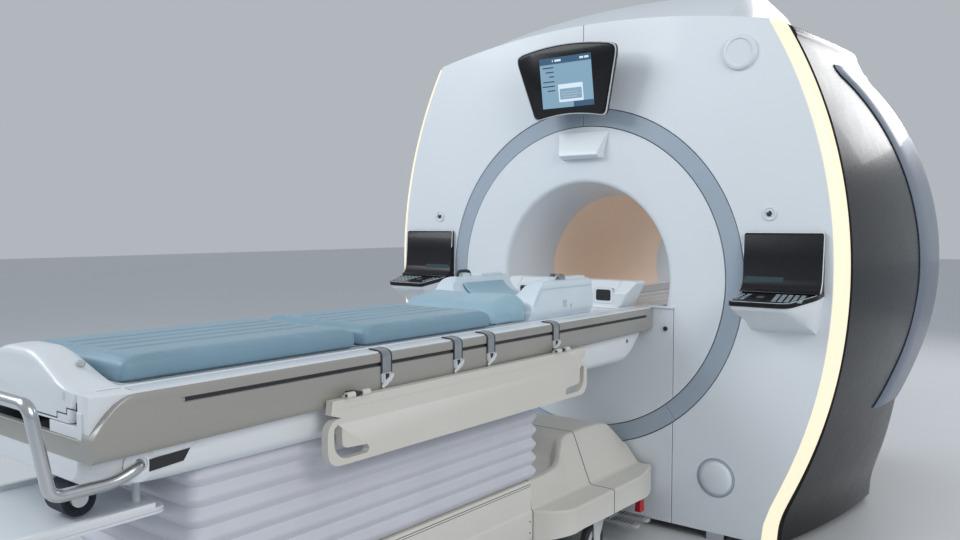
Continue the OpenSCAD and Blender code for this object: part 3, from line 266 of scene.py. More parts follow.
def smooth_shade(me, sharp, weld=1e-6, turn=True):
    bm = bmesh.new()
    bm.from_mesh(me)
    bmesh.ops.remove_doubles(bm, verts=bm.verts, dist=weld)
    if turn:
        bmesh.ops.recalc_face_normals(bm, faces=bm.faces)
    for f in bm.faces:
        f.smooth = True
    for e in bm.edges:
        e.smooth = not (e.is_manifold and e.calc_face_angle(0.0) > math.radians(sharp))
    bm.to_mesh(me)
    bm.free()


def add_bevel(obj, width, segments):
    mod = obj.modifiers.new("edges", "BEVEL")
    mod.width = width * MM
    mod.segments = segments
    mod.limit_method = "ANGLE"
    mod.angle_limit = math.radians(32)
    mod.harden_normals = True
    mod.miter_outer = "MITER_ARC"


def placed(obj, body, finish, replaces=()):
    if len(obj.data.materials):
        obj.data.materials.clear()
    for f in finish if isinstance(finish, (list, tuple)) else [finish]:
        obj.data.materials.append(f)
    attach(obj, body)
    if replaces:
        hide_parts(*replaces)
    return obj


def piece(name, shape, body, finish, replaces=(), bevel=0.0, segments=2, sharp=32.0, subdivide=0):
    """A piece from shapes; a list of (shape, finish) pairs gives it several finishes."""
    if isinstance(shape, list):
        whole = merged(*[s for s, _ in shape])
        finishes = [f for _, f in shape]
        index = [i for i, (s, _) in enumerate(shape) for _ in s[1]]
    else:
        whole, finishes, index = shape, [finish], None
    me = bpy.data.meshes.new(name)
    me.from_pydata([(x * MM, y * MM, z * MM) for x, y, z in whole[0]], [], [list(f) for f in whole[1]])
    if index:
        me.polygons.foreach_set("material_index", index)
    smooth_shade(me, sharp)
    obj = bpy.data.objects.new(name, me)
    scene.collection.objects.link(obj)
    if bevel:
        add_bevel(obj, bevel, segments)
    if subdivide:
        mod = obj.modifiers.new("smooth", "SUBSURF")
        mod.levels = mod.render_levels = subdivide
    return placed(obj, body, finishes, replaces)


def dressed(node, finish, bevel=1.5, segments=2, sharp=28.0, name=None):
    """A copy of a CAD node with its triangles joined into faces and its edges softened."""
    source = nodes[node]
    me = source.data.copy()
    me.name = node
    bm = bmesh.new()
    bm.from_mesh(me)
    bmesh.ops.remove_doubles(bm, verts=bm.verts, dist=1e-5)
    bmesh.ops.dissolve_limit(bm, angle_limit=math.radians(0.6), verts=bm.verts, edges=bm.edges)
    bm.to_mesh(me)
    bm.free()
    smooth_shade(me, sharp, 1e-5, turn=False)
    obj = bpy.data.objects.new(name or node + "_dressed", me)
    scene.collection.objects.link(obj)
    if bevel:
        add_bevel(obj, bevel, segments)
    return placed(obj, source["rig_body"], finish, (node,))


# Finishes

def finish(name, colour, rough=0.4, tint=0.03, patch=3.0, grain=900.0, depth=0.0002, metallic=0.0, coat=0.0,
           spec=0.5, rough_spread=0.06, glow=None, glow_strength=1.0, sheen=0.0, stretch=None, weave=None, edge_highlight_and_wear=0.0):
    """A finish with patches of tint, a fine grain, uneven gloss, and a weave or brushing where it has one."""
    mat = bpy.data.materials.new(name)
    mat.use_nodes = True
    nt = mat.node_tree
    shader = nt.nodes["Principled BSDF"]
    coords = nt.nodes.new("ShaderNodeTexCoord")
    source = coords.outputs["Object"]
    if stretch:
        mapping = nt.nodes.new("ShaderNodeMapping")
        mapping.inputs["Scale"].default_value = stretch
        nt.links.new(source, mapping.inputs["Vector"])
        source = mapping.outputs["Vector"]

    def noise(scale, detail=3.0, rough_=0.55):
        n = nt.nodes.new("ShaderNodeTexNoise")
        n.inputs["Scale"].default_value = scale
        n.inputs["Detail"].default_value = detail
        n.inputs["Roughness"].default_value = rough_
        nt.links.new(source, n.inputs["Vector"])
        return n.outputs["Fac"]

    ramp = nt.nodes.new("ShaderNodeValToRGB")
    ramp.color_ramp.elements[0].position = 0.3
    ramp.color_ramp.elements[1].position = 0.7
    ramp.color_ramp.elements[0].color = [c * (1 - tint) for c in colour] + [1]
    ramp.color_ramp.elements[1].color = [min(1, c * (1 + tint)) for c in colour] + [1]
    nt.links.new(noise(patch), ramp.inputs["Fac"])
    base = ramp.outputs["Color"]
    gloss = nt.nodes.new("ShaderNodeMapRange")
    gloss.inputs["To Min"].default_value = max(0.02, rough - rough_spread)
    gloss.inputs["To Max"].default_value = min(1.0, rough + rough_spread)
    nt.links.new(noise(patch * 6, 4.0), gloss.inputs["Value"])
    nt.links.new(gloss.outputs["Result"], shader.inputs["Roughness"])
    height = noise(grain, 2.0)
    if weave:
        waves = []
        for direction, scale in weave:
            w = nt.nodes.new("ShaderNodeTexWave")
            w.wave_type = "BANDS"
            w.bands_direction = direction
            w.inputs["Scale"].default_value = scale
            w.inputs["Distortion"].default_value = 0.4
            nt.links.new(source, w.inputs["Vector"])
            waves.append(w.outputs["Fac"])
        total = waves[0]
        for extra in waves[1:]:
            m = nt.nodes.new("ShaderNodeMath")
            m.operation = "MAXIMUM"
            nt.links.new(total, m.inputs[0])
            nt.links.new(extra, m.inputs[1])
            total = m.outputs["Value"]
        height = total
        dark = nt.nodes.new("ShaderNodeMix")
        dark.data_type = "RGBA"
        dark.blend_type = "MULTIPLY"
        dark.inputs["Factor"].default_value = 0.35
        nt.links.new(base, dark.inputs["A"])
        nt.links.new(total, dark.inputs["B"])
        base = dark.outputs["Result"]
    # convex edges made lighter: a painted edge highlight, partly worn edges
    if edge_highlight_and_wear:
        geometry = nt.nodes.new("ShaderNodeNewGeometry")
        edge = nt.nodes.new("ShaderNodeMapRange")
        edge.inputs["From Min"].default_value = 0.53
        edge.inputs["From Max"].default_value = 0.60
        edge.inputs["To Max"].default_value = edge_highlight_and_wear
        nt.links.new(geometry.outputs["Pointiness"], edge.inputs["Value"])
        light = nt.nodes.new("ShaderNodeMix")
        light.data_type = "RGBA"
        light.inputs["B"].default_value = [min(1, c * 1.5 + 0.08) for c in colour] + [1]
        nt.links.new(edge.outputs["Result"], light.inputs["Factor"])
        nt.links.new(base, light.inputs["A"])
        base = light.outputs["Result"]
    nt.links.new(base, shader.inputs["Base Color"])
    bump = nt.nodes.new("ShaderNodeBump")
    bump.inputs["Distance"].default_value = depth
    bump.inputs["Strength"].default_value = 0.6
    nt.links.new(height, bump.inputs["Height"])
    nt.links.new(bump.outputs["Normal"], shader.inputs["Normal"])
    shader.inputs["Metallic"].default_value = metallic
    shader.inputs["Specular IOR Level"].default_value = spec
    shader.inputs["Coat Weight"].default_value = coat
    shader.inputs["Coat Roughness"].default_value = 0.05
    shader.inputs["Sheen Weight"].default_value = sheen
    if glow:
        shader.inputs["Emission Color"].default_value = list(glow) + [1]
        shader.inputs["Emission Strength"].default_value = glow_strength
    return mat


COVER_WHITE = finish("cover_white", (0.74, 0.79, 0.84), 0.36, 0.015, 1.2, 700, 0.00008, coat=0.15)
# darker copy of the cover white for the dock panel, bore bridge, fittings, rear cover and cryostat: painted shade
PANEL_WHITE_SHADED = finish("panel_white", (0.70, 0.75, 0.80), 0.38, 0.015, 1.2, 700, 0.00008, coat=0.1)
TABLE_WHITE = finish("table_white", (0.72, 0.76, 0.80), 0.34, 0.02, 2.0, 800, 0.0001, coat=0.15, edge_highlight_and_wear=0.3)
CREAM = finish("cream_cover", (0.66, 0.64, 0.59), 0.46, 0.02, 2.5, 1100, 0.0002, edge_highlight_and_wear=0.25)
RING_GREY = finish("ring_grey", (0.36, 0.43, 0.51), 0.38, 0.03, 4, 900, 0.0001, coat=0.1)
JOINT_DARK = finish("joint_dark", (0.02, 0.035, 0.055), 0.6, 0.1, 10)
GLOSS_BLACK = finish("gloss_black", (0.008, 0.008, 0.010), 0.27, 0.2, 2.0, 500, 0.00003, coat=0.12,
                     rough_spread=0.05, spec=0.25)
SOFT_BLACK = finish("soft_black", (0.02, 0.02, 0.024), 0.42, 0.15, 6, 1400, 0.0002)
WING_GREY = finish("wing_grey", (0.17, 0.205, 0.275), 0.36, 0.06, 2.2, 1600, 0.00006, metallic=0.2, coat=0.3)
# bore lining: peach with a faint glow of its own, painted light standing in for the bore's lamps
BORE_PAINTED_GLOW = finish("bore_peach", (0.76, 0.61, 0.50), 0.5, 0.03, 2, 600, 0.0001,
                    glow=(1.0, 0.72, 0.50), glow_strength=0.10)
LIGHT_STRIP = finish("light_strip", (0.22, 0.20, 0.16), 0.4, 0.02, 4, glow=(1.0, 0.88, 0.66), glow_strength=0.92)
STEEL = finish("satin_steel", (0.60, 0.61, 0.63), 0.24, 0.04, 6, 900, 0.00002, metallic=1.0,
               stretch=(1, 0.08, 1), rough_spread=0.03)
DARK_METAL = finish("dark_metal", (0.10, 0.11, 0.13), 0.45, 0.12, 8, 700, 0.0003, metallic=0.4)
FRAME_PAINT = finish("frame_paint", (0.12, 0.135, 0.155), 0.5, 0.1, 7, 500, 0.0004, edge_highlight_and_wear=0.5)
ALUMINIUM = finish("aluminium", (0.66, 0.68, 0.70), 0.32, 0.05, 10, 900, 0.0002, metallic=1.0, stretch=(1, 1, 0.06))
TAUPE = finish("rail_taupe", (0.36, 0.35, 0.325), 0.34, 0.05, 3, 1200, 0.00005, metallic=0.2, coat=0.3,
               stretch=(1, 0.2, 1))
BELLOWS = finish("bellows_skin", (0.62, 0.63, 0.70), 0.52, 0.04, 5, 1300, 0.0004, sheen=0.2)
WEBBING = finish("strap_webbing", (0.25, 0.275, 0.30), 0.75, 0.12, 20, depth=0.0008, sheen=0.3,
                 weave=(("X", 420), ("Y", 260)))
WEBBING_EDGE = finish("strap_edge", (0.035, 0.045, 0.06), 0.8, 0.1, 20, 900, 0.0004)
BUCKLE = finish("buckle_grey", (0.45, 0.48, 0.50), 0.34, 0.05, 20, 900, 0.0002, edge_highlight_and_wear=0.4)
VINYL = finish("mattress_vinyl", (0.195, 0.325, 0.415), 0.44, 0.05, 3.5, 1500, 0.00035, sheen=0.15)
# dark blue for the sewn seams and the welt: painted shade in the channels and along the bottom edge
VINYL_SEAM_SHADE = finish("vinyl_seam", (0.045, 0.095, 0.14), 0.6, 0.08, 12, 900, 0.0003)
CUSHION = finish("cushion_pale", (0.31, 0.485, 0.585), 0.5, 0.05, 4, 1500, 0.0004, sheen=0.2)
COIL_WHITE = finish("coil_white", (0.66, 0.75, 0.82), 0.36, 0.03, 5, 900, 0.0001, coat=0.1)
RUBBER = finish("wheel_rubber", (0.035, 0.035, 0.038), 0.7, 0.15, 20, 1200, 0.0005)
HUB_WHITE = finish("hub_white", (0.62, 0.65, 0.68), 0.4, 0.05, 12, 900, 0.0002, edge_highlight_and_wear=0.3)
PEDAL_GREY = finish("pedal_grey", (0.36, 0.38, 0.40), 0.55, 0.1, 14, 900, 0.0005, edge_highlight_and_wear=0.5)
LEVER_RED = finish("lever_red", (0.50, 0.015, 0.02), 0.36, 0.1, 10, 900, 0.0002, edge_highlight_and_wear=0.3)
COIL_COPPER = finish("coil_copper", (0.60, 0.30, 0.14), 0.4, 0.15, 6, 700, 0.0003, metallic=0.8)
COIL_RESIN = finish("coil_resin", (0.42, 0.34, 0.13), 0.4, 0.1, 6, 600, 0.0003, coat=0.4)
SCREEN_GLOW = finish("screen_field", (0.05, 0.07, 0.09), 0.3, 0.01, 4,
                     glow=(0.30, 0.52, 0.70), glow_strength=0.62)
SCREEN_HEAD = finish("screen_header", (0.02, 0.04, 0.06), 0.3, 0.01, 4,
                     glow=(0.05, 0.14, 0.28), glow_strength=0.5)
SCREEN_WHITE = finish("screen_panel_white", (0.06, 0.07, 0.08), 0.3, 0.01, 4,
                      glow=(0.78, 0.90, 1.0), glow_strength=0.85)
SCREEN_INK = finish("screen_ink", (0.02, 0.05, 0.10), 0.3, 0.01, 4)
# pale keys with a faint glow: painted light on them
KEY_PAINTED_GLOW = finish("key_pale", (0.30, 0.36, 0.40), 0.4, 0.05, 30, glow=(0.30, 0.42, 0.50), glow_strength=0.12)
KEY_DARK = finish("key_dark", (0.035, 0.04, 0.048), 0.35, 0.05, 30)
TEAL_GLASS = finish("teal_glass", (0.010, 0.040, 0.055), 0.08, 0.1, 3, coat=1.0)
LENS_DARK = finish("lens_dark", (0.012, 0.016, 0.022), 0.08, 0.1, 10, coat=1.0)


# Magnet: its covers follow the same curves as the CAD solids, with many more points

MAX_HALF_W, WIDEST_Z, SIDE_R, FOOT_HALF_W = 1062.0, 1040.0, 1840.0, 818.0
FACE_TOP_Z, FACE_TOP_R, FLOOR_GAP = 2045.0, 3500.0, 34.0
STRIP_W, STRIP_D, STRIP_T = 45.0, 48.0, 14.0
WING_T, WING_TOP_Z, WING_LOW_Z = 16.0, 1822.0, 488.0
DOME_RISE, DOME_HALF_W, DOME_TAPER = 205.0, 672.0, 0.13
DOME_START, RISE_L = FACE_Y + 45 + SEAT, 650.0
SIDE_BULGE, FOOT_BULGE, REAR_SLOPE, SHOULDER_R = 45.0, 70.0, 0.24, 60.0
EDGE_LINE, SIDE_LINES = 10, 15
RING_RI, RING_RO = 628.0, 698.0
LENS_X, LENS_Z, PLUG_X, PLUG_Z, KNOB_X, KNOB_Z = 790.0, AXIS_H + 258, 600.0, 250.0, 385.0, 808.0
HATCH_W, HATCH_LOW, HATCH_HIGH, SCREW_R, EDGE_SCREW_ZS = 620.0, 330.0, 1650.0, 560.0, (220, 640, 1400)
OUTWARDS = (0, -1, 0)


def arc_x(z):
    return MAX_HALF_W - SIDE_R + math.sqrt(SIDE_R ** 2 - (z - WIDEST_Z) ** 2)


def half_w(z):
    """Half width of the face: an arc that eases into the straight foot."""
    a = arc_x(z)
    if z > WIDEST_Z:
        return a
    k = 34 * ease((WIDEST_Z - z) / 400)
    return (a + FOOT_HALF_W + math.sqrt((a - FOOT_HALF_W) ** 2 + k * k)) / 2


def top_z(x):
    """Top edge of the face, on a shallow parabola."""
    return FACE_TOP_Z - x * x / (2 * FACE_TOP_R)


CORNER_Z = top_z(arc_x(FACE_TOP_Z - 92))


def bulge(y, z):
    """How far a side cover swells out between the front and the rear."""
    return (1 - (y / REAR_Y) ** 2) * (SIDE_BULGE + FOOT_BULGE * (1 - ease((z - FLOOR_GAP) / 620)))


def wing_arc(z, y0, a, z0, up, down):
    """y on an arc that reaches a beyond y0 at height z0 and ends at y0, up above and down below."""
    u = (z - z0) / (up if z > z0 else down)
    return y0 + a * math.sqrt(max(0.0, 1 - u * u))


def wing_z(z):
    return max(WING_LOW_Z, min(WING_TOP_Z - 30, z))


def wing_inner(z):
    return wing_arc(wing_z(z), FACE_Y - 100, 1020, AXIS_H + 20, 839, 670)


def wing_outer(z):
    return wing_arc(wing_z(z), FACE_Y + 250, 1166, AXIS_H + 50, 800, 670)


def side_x(y, z):
    return half_w(z) + bulge(y, z) - REAR_SLOPE * max(0.0, y - wing_outer(z))


def dome_w(y):
    return DOME_HALF_W - DOME_TAPER * (y - FACE_Y)


def side_line(i, inset):
    """One line of a side cover, from the floor up to the top cover; i counts as in the CAD."""
    start = FACE_Y + STRIP_D + SEAT

    def y_at(z):
        edge = wing_outer(z)
        if i <= EDGE_LINE:
            return start + (edge - start) * i / EDGE_LINE
        return edge + (REAR_Y - edge) * (i - EDGE_LINE) / (SIDE_LINES - EDGE_LINE)

    z0 = CORNER_Z - SHOULDER_R
    line = [(side_x(y_at(z), z) - inset, y_at(z), z) for z in steps(FLOOR_GAP, z0, 56)]
    y = y_at(z0)
    x0 = side_x(y, z0) - inset
    for a in steps(9, 90, 9):
        t = math.radians(a)
        line.append((x0 - (SHOULDER_R + 14) * (1 - math.cos(t)), y, z0 + (SHOULDER_R - inset) * math.sin(t)))
    w = dome_w(y) + SEAT
    far = (w, y, top_z(dome_w(y)) - inset - 6)
    near = line[-1]
    line += [tuple(near[k] + (far[k] - near[k]) * t for k in range(3)) for t in (0.25, 0.5, 0.75, 1.0)]
    return line


def make_side_covers():
    rings = [side_line(i, 0) + side_line(i, COVER_T)[::-1] for i in steps(0, SIDE_LINES, 45)]
    shell = loft(rings)
    for side, shape in (("right", shell), ("left", flipped(shell))):
        node = "side_cover_" + side
        piece(node + "_gloss", shape, "magnet", GLOSS_BLACK, [node], bevel=2, sharp=40)


def make_wings():
    rings = []
    for z in steps(WING_LOW_Z, WING_TOP_Z, 70):
        y0, y1 = wing_inner(z), wing_outer(z)
        back = [(side_x(y, z) + SEAT, y, z) for y in steps(y0, y1, 14)]
        front = [(side_x(y, z) + SEAT + WING_T * (0.3 + 0.7 * min(1, 5 * t, 5 * (1 - t)) ** 0.6), y, z)
                 for t, y in zip(steps(0, 1, 14), steps(y0, y1, 14))]
        rings.append(back + front[::-1])
    piece("side_wings_lacquered", mirrored(loft(rings)), "magnet", WING_GREY, ["side_wings"], bevel=2)


def make_light_strips():
    rings = []
    for z in steps(FLOOR_GAP, CORNER_Z, 90):
        x = half_w(z)
        front = [(x - STRIP_W + SEAT, 2), (x - STRIP_W * 0.80, 4), (x - STRIP_W * 0.42, STRIP_D * 0.36),
                 (x - STRIP_W * 0.16, STRIP_D * 0.68), (x - 2, STRIP_D)]
        back = [(x - STRIP_T, STRIP_D), (x - STRIP_W + SEAT, 2 + STRIP_T)]
        rings.append([(a, FACE_Y + b, z) for a, b in front + back])
    piece("light_strips_lit", mirrored(loft(rings)), "magnet", LIGHT_STRIP, ["light_strips"],
          sharp=50)


def dome_height(y):
    a = min(1.0, max(0.0, (y - DOME_START) / RISE_L))
    b = min(1.0, max(0.0, (y - REAR_Y + RISE_L) / RISE_L))
    return DOME_RISE * math.sin(math.pi / 2 * a) * (0.4 + 0.6 * math.cos(math.pi / 2 * b))


def make_top_cover():
    def line(y, inset):
        w = dome_w(y) - inset
        k, h = w - 72, dome_height(y) - inset
        crown = [(x, y, top_z(x) + h) for x in steps(k, -k, 36)]
        low = (w, y, top_z(w) - 60)
        foot = (w, y, top_z(w) - inset)
        side = [tuple(foot[j] + (crown[0][j] - foot[j]) * t for j in range(3)) for t in (0, 0.33, 0.66)]
        other = [(-p[0], p[1], p[2]) for p in side[::-1]]
        return [low] + side + crown + other + [(-w, y, top_z(w) - 60)]
    rings = [line(y, 0) + line(y, COVER_T)[::-1] for y in steps(DOME_START, REAR_Y, 48)]
    piece("top_cover_moulded", loft(rings), "magnet", COVER_WHITE, ["top_cover"], bevel=5, segments=3,
          sharp=24)


# Nodes of the magnet that keep their CAD shape: node, finish, slot, width and segments of the edge bevel
FRONT_NODES = [
    ("front_cover", COVER_WHITE, "white_cover", 3, 3),
    ("dock_panel", PANEL_WHITE_SHADED, "white_cover", 2.5, 2),
    ("ring_trim", RING_GREY, "ring_grey", 1.5, 2),
    ("bell_mouth", COVER_WHITE, "white_cover", 2, 2),
    ("bore_tube", BORE_PAINTED_GLOW, "bore_lining", 0, 2),
    ("bore_bridge", PANEL_WHITE_SHADED, "white_cover", 2, 2),
    ("face_fittings", PANEL_WHITE_SHADED, "white_cover", 1.5, 2),
    ("pod_cover", COVER_WHITE, "white_cover", 5, 3),
    ("rear_cover", PANEL_WHITE_SHADED, "white_cover", 3, 3),
    ("cover_frame", ALUMINIUM, "frame_aluminium", 1, 2),
    ("floor_frame", FRAME_PAINT, "frame_paint", 3, 2),
    ("cryostat", PANEL_WHITE_SHADED, "vessel_paint", 2, 2),
    ("cold_head", STEEL, "cold_head_steel", 2, 2),
    ("body_coil", COIL_COPPER, "coil_former", 1, 2),
    ("gradient_coil", COIL_RESIN, "coil_resin", 2, 2),
    ("dock_receiver", STEEL, "receiver_steel", 2, 2),
]


def make_front():
    for node, look, slot, bevel, segments in FRONT_NODES:
        dressed(node, look, bevel, segments)
    # dark ring behind each seam of the front: painted shade in the gap
    seat_y = FACE_Y + COVER_T - 0.1
    gap_shade_rings = [spin(rectangle(r - 2, 0, r + 2, 2), (0, seat_y, AXIS_H), OUTWARDS, 128)
            for r in (RING_RI - 1.5, RING_RO + 1.5)]
    piece("ring_seams", merged(*gap_shade_rings), "magnet", JOINT_DARK)
    centre = block(-1.2, FACE_Y - 0.4, AXIS_H + RING_RO + 2.6, 1.2, FACE_Y + 1.5, AXIS_H + 1044)
    piece("cover_centre_seam", centre, "magnet", JOINT_DARK)
    lip = [(312, 889), (421, 889), (421, 897), (316, 899)]
    piece("dock_lip", mirrored(prism(lip, FACE_Y - 9, FACE_Y - 0.1)), "magnet", COVER_WHITE, bevel=2)
    knob = spin([(0, 0), (9, 0), (9, 5), (7, 8), (0, 8)], (KNOB_X, FACE_Y, KNOB_Z), OUTWARDS, 24)
    piece("dock_knobs", mirrored(knob), "magnet", SOFT_BLACK, bevel=0.8)


DISPLAY_LEAN = math.radians(9)
DISPLAY_AT = Vector((0, FACE_Y - 132, AXIS_H + 795))


def on_display(x, up, out):
    """A point on the leaning display: x across, up the glass, out towards the room."""
    c, s = math.cos(DISPLAY_LEAN), math.sin(DISPLAY_LEAN)
    return (x, DISPLAY_AT.y - out * c - up * s, DISPLAY_AT.z + up * c - out * s)


def ring_on_display(outline, out):
    return [on_display(x, up, out) for x, up in outline]


def display_outline(grow):
    """Front of the display with its curved top and bottom edges, grow larger all round."""
    tw, bw, h = 240 + grow, 170 + grow, 150 + grow
    corners = [(-bw, -h + 2)] + [(bw * t, -h + 20 * (1 - t * t)) for t in steps(-0.8, 0.8, 8)] + [(bw, -h + 2)]
    corners += [(tw, h - 34)] + [(tw * t, h - 26 * t * t) for t in steps(0.86, -0.86, 10)] + [(-tw, h - 34)]
    radius = [26] + [0] * 9 + [26, 40] + [0] * 11 + [40]
    return rounded(corners, radius, 7)


def display_plate(x0, z0, x1, z1, out, thick=0.5, corner=2.0):
    """Thin plate with rounded corners that lies out from the glass."""
    ring = rounded(rectangle(x0, z0, x1, z1), corner, 3)
    return loft([ring_on_display(ring, out), ring_on_display(ring, out + thick)])


def make_display():
    depths = [(-4.5, -6), (-1.5, -1.5), (-5, 0), (-20, 0), (-34, -8), (-46, -26), (-58, -60)]
    body = loft([ring_on_display(display_outline(grow), out) for out, grow in depths])
    piece("display_shell", body, "magnet", SOFT_BLACK, ["display_housing"], sharp=60)
    depths = [(-4, -9), (-1.2, -8), (-0.6, -9.5)]
    glass = loft([ring_on_display(display_outline(grow), out) for out, grow in depths])
    piece("display_glass", glass, "magnet", GLOSS_BLACK, sharp=50)
    # rim: four rings joined back to the first
    edges = [(-5.5, 0.6), (-1.6, -0.6), (-1.6, -3.2), (-5.5, -3.2)]
    verts = [p for out, grow in edges for p in ring_on_display(display_outline(grow), out)]
    n = len(verts) // 4
    faces = [(k * n + j, k * n + (j + 1) % n, ((k + 1) % 4) * n + (j + 1) % n, ((k + 1) % 4) * n + j)
             for k in range(4) for j in range(n)]
    piece("display_rim", (verts, faces), "magnet", BUCKLE, sharp=40)
    sx, sz = 122, 101
    shapes = [(display_plate(-sx, -sz, sx, sz, -0.6), SCREEN_GLOW),
              (display_plate(-sx, sz - 26, sx, sz, -0.05, 0.3), SCREEN_HEAD),
              (display_plate(sx - 94, -sz, sx, -sz + 22, -0.05, 0.3), SCREEN_HEAD),
              (display_plate(-40, -sz + 22, sx - 46, -8, -0.05, 0.3), SCREEN_WHITE),
              (display_plate(-34, -sz + 32, sx - 52, -26, 0.3, 0.2), SCREEN_GLOW)]
    for up, length in ((62, 52), (44, 38), (26, 24), (6, 56), (-12, 60), (-30, 36)):
        shapes.append((display_plate(-sx + 66 - length, up - 2.2, -sx + 66, up + 2.2, -0.05, 0.3, 0.8), SCREEN_INK))
    for x0, x1, up in ((-60, -56, 88), (-48, -18, 88), (70, 88, 88), (92, 112, 88)):
        shapes.append((display_plate(x0, up - 4, x1, up + 4, 0.3, 0.2, 1), SCREEN_WHITE))
    for up, x1 in ((-40, 50), (-50, 62), (-60, 44)):
        shapes.append((display_plate(-26, up - 1.5, x1, up + 1.5, 0.55, 0.2, 0.5), BUCKLE))
    piece("display_picture", shapes, "magnet", None, ["display_screen"])
    dressed("display_bracket", SOFT_BLACK, bevel=4, segments=3)


CONSOLE_X, CONSOLE_W, CONSOLE_H, CONSOLE_REACH = 702.0, 286.0, 206.0, 210.0
KEYPAD_Z, KEYPAD_DROP, SHELL_T = AXIS_H - 18.0, 32.0, 16.0


def console_plan(reach, inset=0.0):
    """Plan of a console as (x, distance out of the face) pairs, from the inner edge round the front."""
    x0, x1 = CONSOLE_X + inset, CONSOLE_X + CONSOLE_W - inset
    r = reach - inset
    return rounded([(x0, 0), (x0 + 6, 50), (x0 + 20, r), (x1 - 54, r), (x1, 60), (x1, 0)], [0, 30, 16, 34, 40, 0], 6)


def keypad_z(out):
    """Height of the sloping keypad, out from the face."""
    return KEYPAD_Z - KEYPAD_DROP * out / CONSOLE_REACH


def make_consoles():
    # keypad slab that turns up into the upright glass
    plan = console_plan(CONSOLE_REACH)
    top = [(x, FACE_Y - d, keypad_z(d)) for x, d in plan]
    under = [(x, FACE_Y - d, keypad_z(d) - SHELL_T) for x, d in plan]
    slab = loft([under, top])
    profile = [(0, CONSOLE_H), (13, CONSOLE_H), (18, CONSOLE_H - 8), (22, 120), (28, 44), (34, 20), (46, 5), (60, -3),
               (60, -8), (0, -8)]
    profile = [(FACE_Y - d, KEYPAD_Z + z) for d, z in profile]
    x0, x1 = CONSOLE_X + 2, CONSOLE_X + CONSOLE_W - 1
    shell = merged(slab, prism(profile, x0, x1, "yz"))
    piece("console_shells", mirrored(shell), "magnet", GLOSS_BLACK, ["console_panels"],
          bevel=3, segments=3)
    band = [(FACE_Y - d, KEYPAD_Z + z) for d, z in ((31.5, 30), (29.0, 48), (28.4, 48), (30.6, 30))]
    piece("console_glass_band", mirrored(prism(band, x0 + 8, x0 + 150, "yz")), "magnet", TEAL_GLASS)
    # pale rim round the keypad and up the sides of the glass
    edge = [(x, FACE_Y - d, keypad_z(d) + 0.5) for x, d in console_plan(CONSOLE_REACH, 5)[1:-1]]
    frame_line = [(x1 + 1.5, FACE_Y - 48, KEYPAD_Z - 4), (x1 + 1.5, FACE_Y - 30, KEYPAD_Z + 30),
                  (x1 + 1.5, FACE_Y - 20, KEYPAD_Z + 130), (x1 + 1.5, FACE_Y - 14, KEYPAD_Z + CONSOLE_H + 1),
                  (x0 - 1, FACE_Y - 14, KEYPAD_Z + CONSOLE_H + 1), (x0 - 1, FACE_Y - 20, KEYPAD_Z + 130)]
    rims = merged(bar(edge, 0.9, 8), bar(bent(frame_line, 10, 4), 1.8, 8))
    piece("console_rims", mirrored(rims), "magnet", COVER_WHITE)
    # keys: a short row at the inner side, a dial in the middle, a block of rows at the outer side
    spots = [(x0 + 26 + 6 * k, 92 + 22 * r) for r in range(4) for k in (0, 4)]
    spots += [(x0 + 150 + 22 * k + 3 * r, 78 + 19 * r) for r in range(6) for k in range(5)]
    flat = [(x, FACE_Y - d, keypad_z(d)) for x, d in spots if d < 186]
    flat += [(-x, y, z) for x, y, z in flat]
    tilt = math.atan2(KEYPAD_DROP, CONSOLE_REACH)
    repeated("console_keys", flat, (15, 9, 2.4), "block", KEY_PAINTED_GLOW, "magnet", tilt=(tilt, 0, 0))
    dial = spin([(0, 0), (17, 0), (17, 2), (14, 3), (12, 1.6), (0, 1.6)], (x0 + 104, FACE_Y - 128, keypad_z(128)),
                (0, -math.sin(tilt), math.cos(tilt)), 32)
    piece("console_dials", mirrored(dial), "magnet", KEY_DARK, bevel=0.4)
    marks = merged(*[block(x0 + 95 + 7 * k, FACE_Y - 131, keypad_z(128) + 1.2,
                           x0 + 99 + 7 * k, FACE_Y - 124, keypad_z(128) + 2.2) for k in range(3)])
    piece("console_dial_marks", mirrored(marks), "magnet", KEY_PAINTED_GLOW)
    # white trays: a tapered shell below the slab
    rings = []
    for s in steps(0, 1, 14):
        reach = CONSOLE_REACH - 84 * s * s - 2
        drop = 62 * s
        ring = []
        for x, d in console_plan(reach, 4 + 22 * s ** 1.6):
            share = d / reach
            z = KEYPAD_Z - SHELL_T - SEAT - KEYPAD_DROP * d / CONSOLE_REACH - drop * (2.2 - 1.2 * share)
            ring.append((x, FACE_Y - d, z))
        rings.append(ring)
    piece("console_trays_moulded", mirrored(loft(rings)), "magnet", COVER_WHITE, ["console_trays"],
          bevel=3, segments=3, sharp=40)


def make_magnet_details():
    # screws of the rear cover: a ring of twelve, and three on each edge
    turns = [math.radians(a) for a in range(0, 360, 30)]
    spots = [(SCREW_R * math.cos(t), REAR_Y, AXIS_H + SCREW_R * math.sin(t)) for t in turns]
    for z in EDGE_SCREW_ZS:
        w = side_x(REAR_Y, z) - 60
        spots += [(w, REAR_Y, z), (-w, REAR_Y, z)]
    repeated("rear_screws", spots, (9, 9, 3.0), "round", STEEL, "magnet",
             tilt=(-math.pi / 2, 0, 0))
    # joint line round the hatch of the rear cover
    w, low, high, line = HATCH_W, HATCH_LOW, HATCH_HIGH, 2
    rear = [block(x0, REAR_Y - 0.3, z0, x1, REAR_Y + 0.2, z1) for x0, z0, x1, z1 in
            ((-w, low, line - w, high), (w - line, low, w, high), (-w, low - line, w, low), (-w, high, w, high + line))]
    piece("rear_seams", merged(*rear), "magnet", JOINT_DARK)
    lens = [(0, 0), (10.5, 0), (10.5, 6.6), (7, 8.2), (0, 8.8)]
    lenses = [spin(lens, (x, FACE_Y, LENS_Z), OUTWARDS, 32) for x in (LENS_X, -LENS_X)]
    piece("lenses", merged(*lenses), "magnet", LENS_DARK)


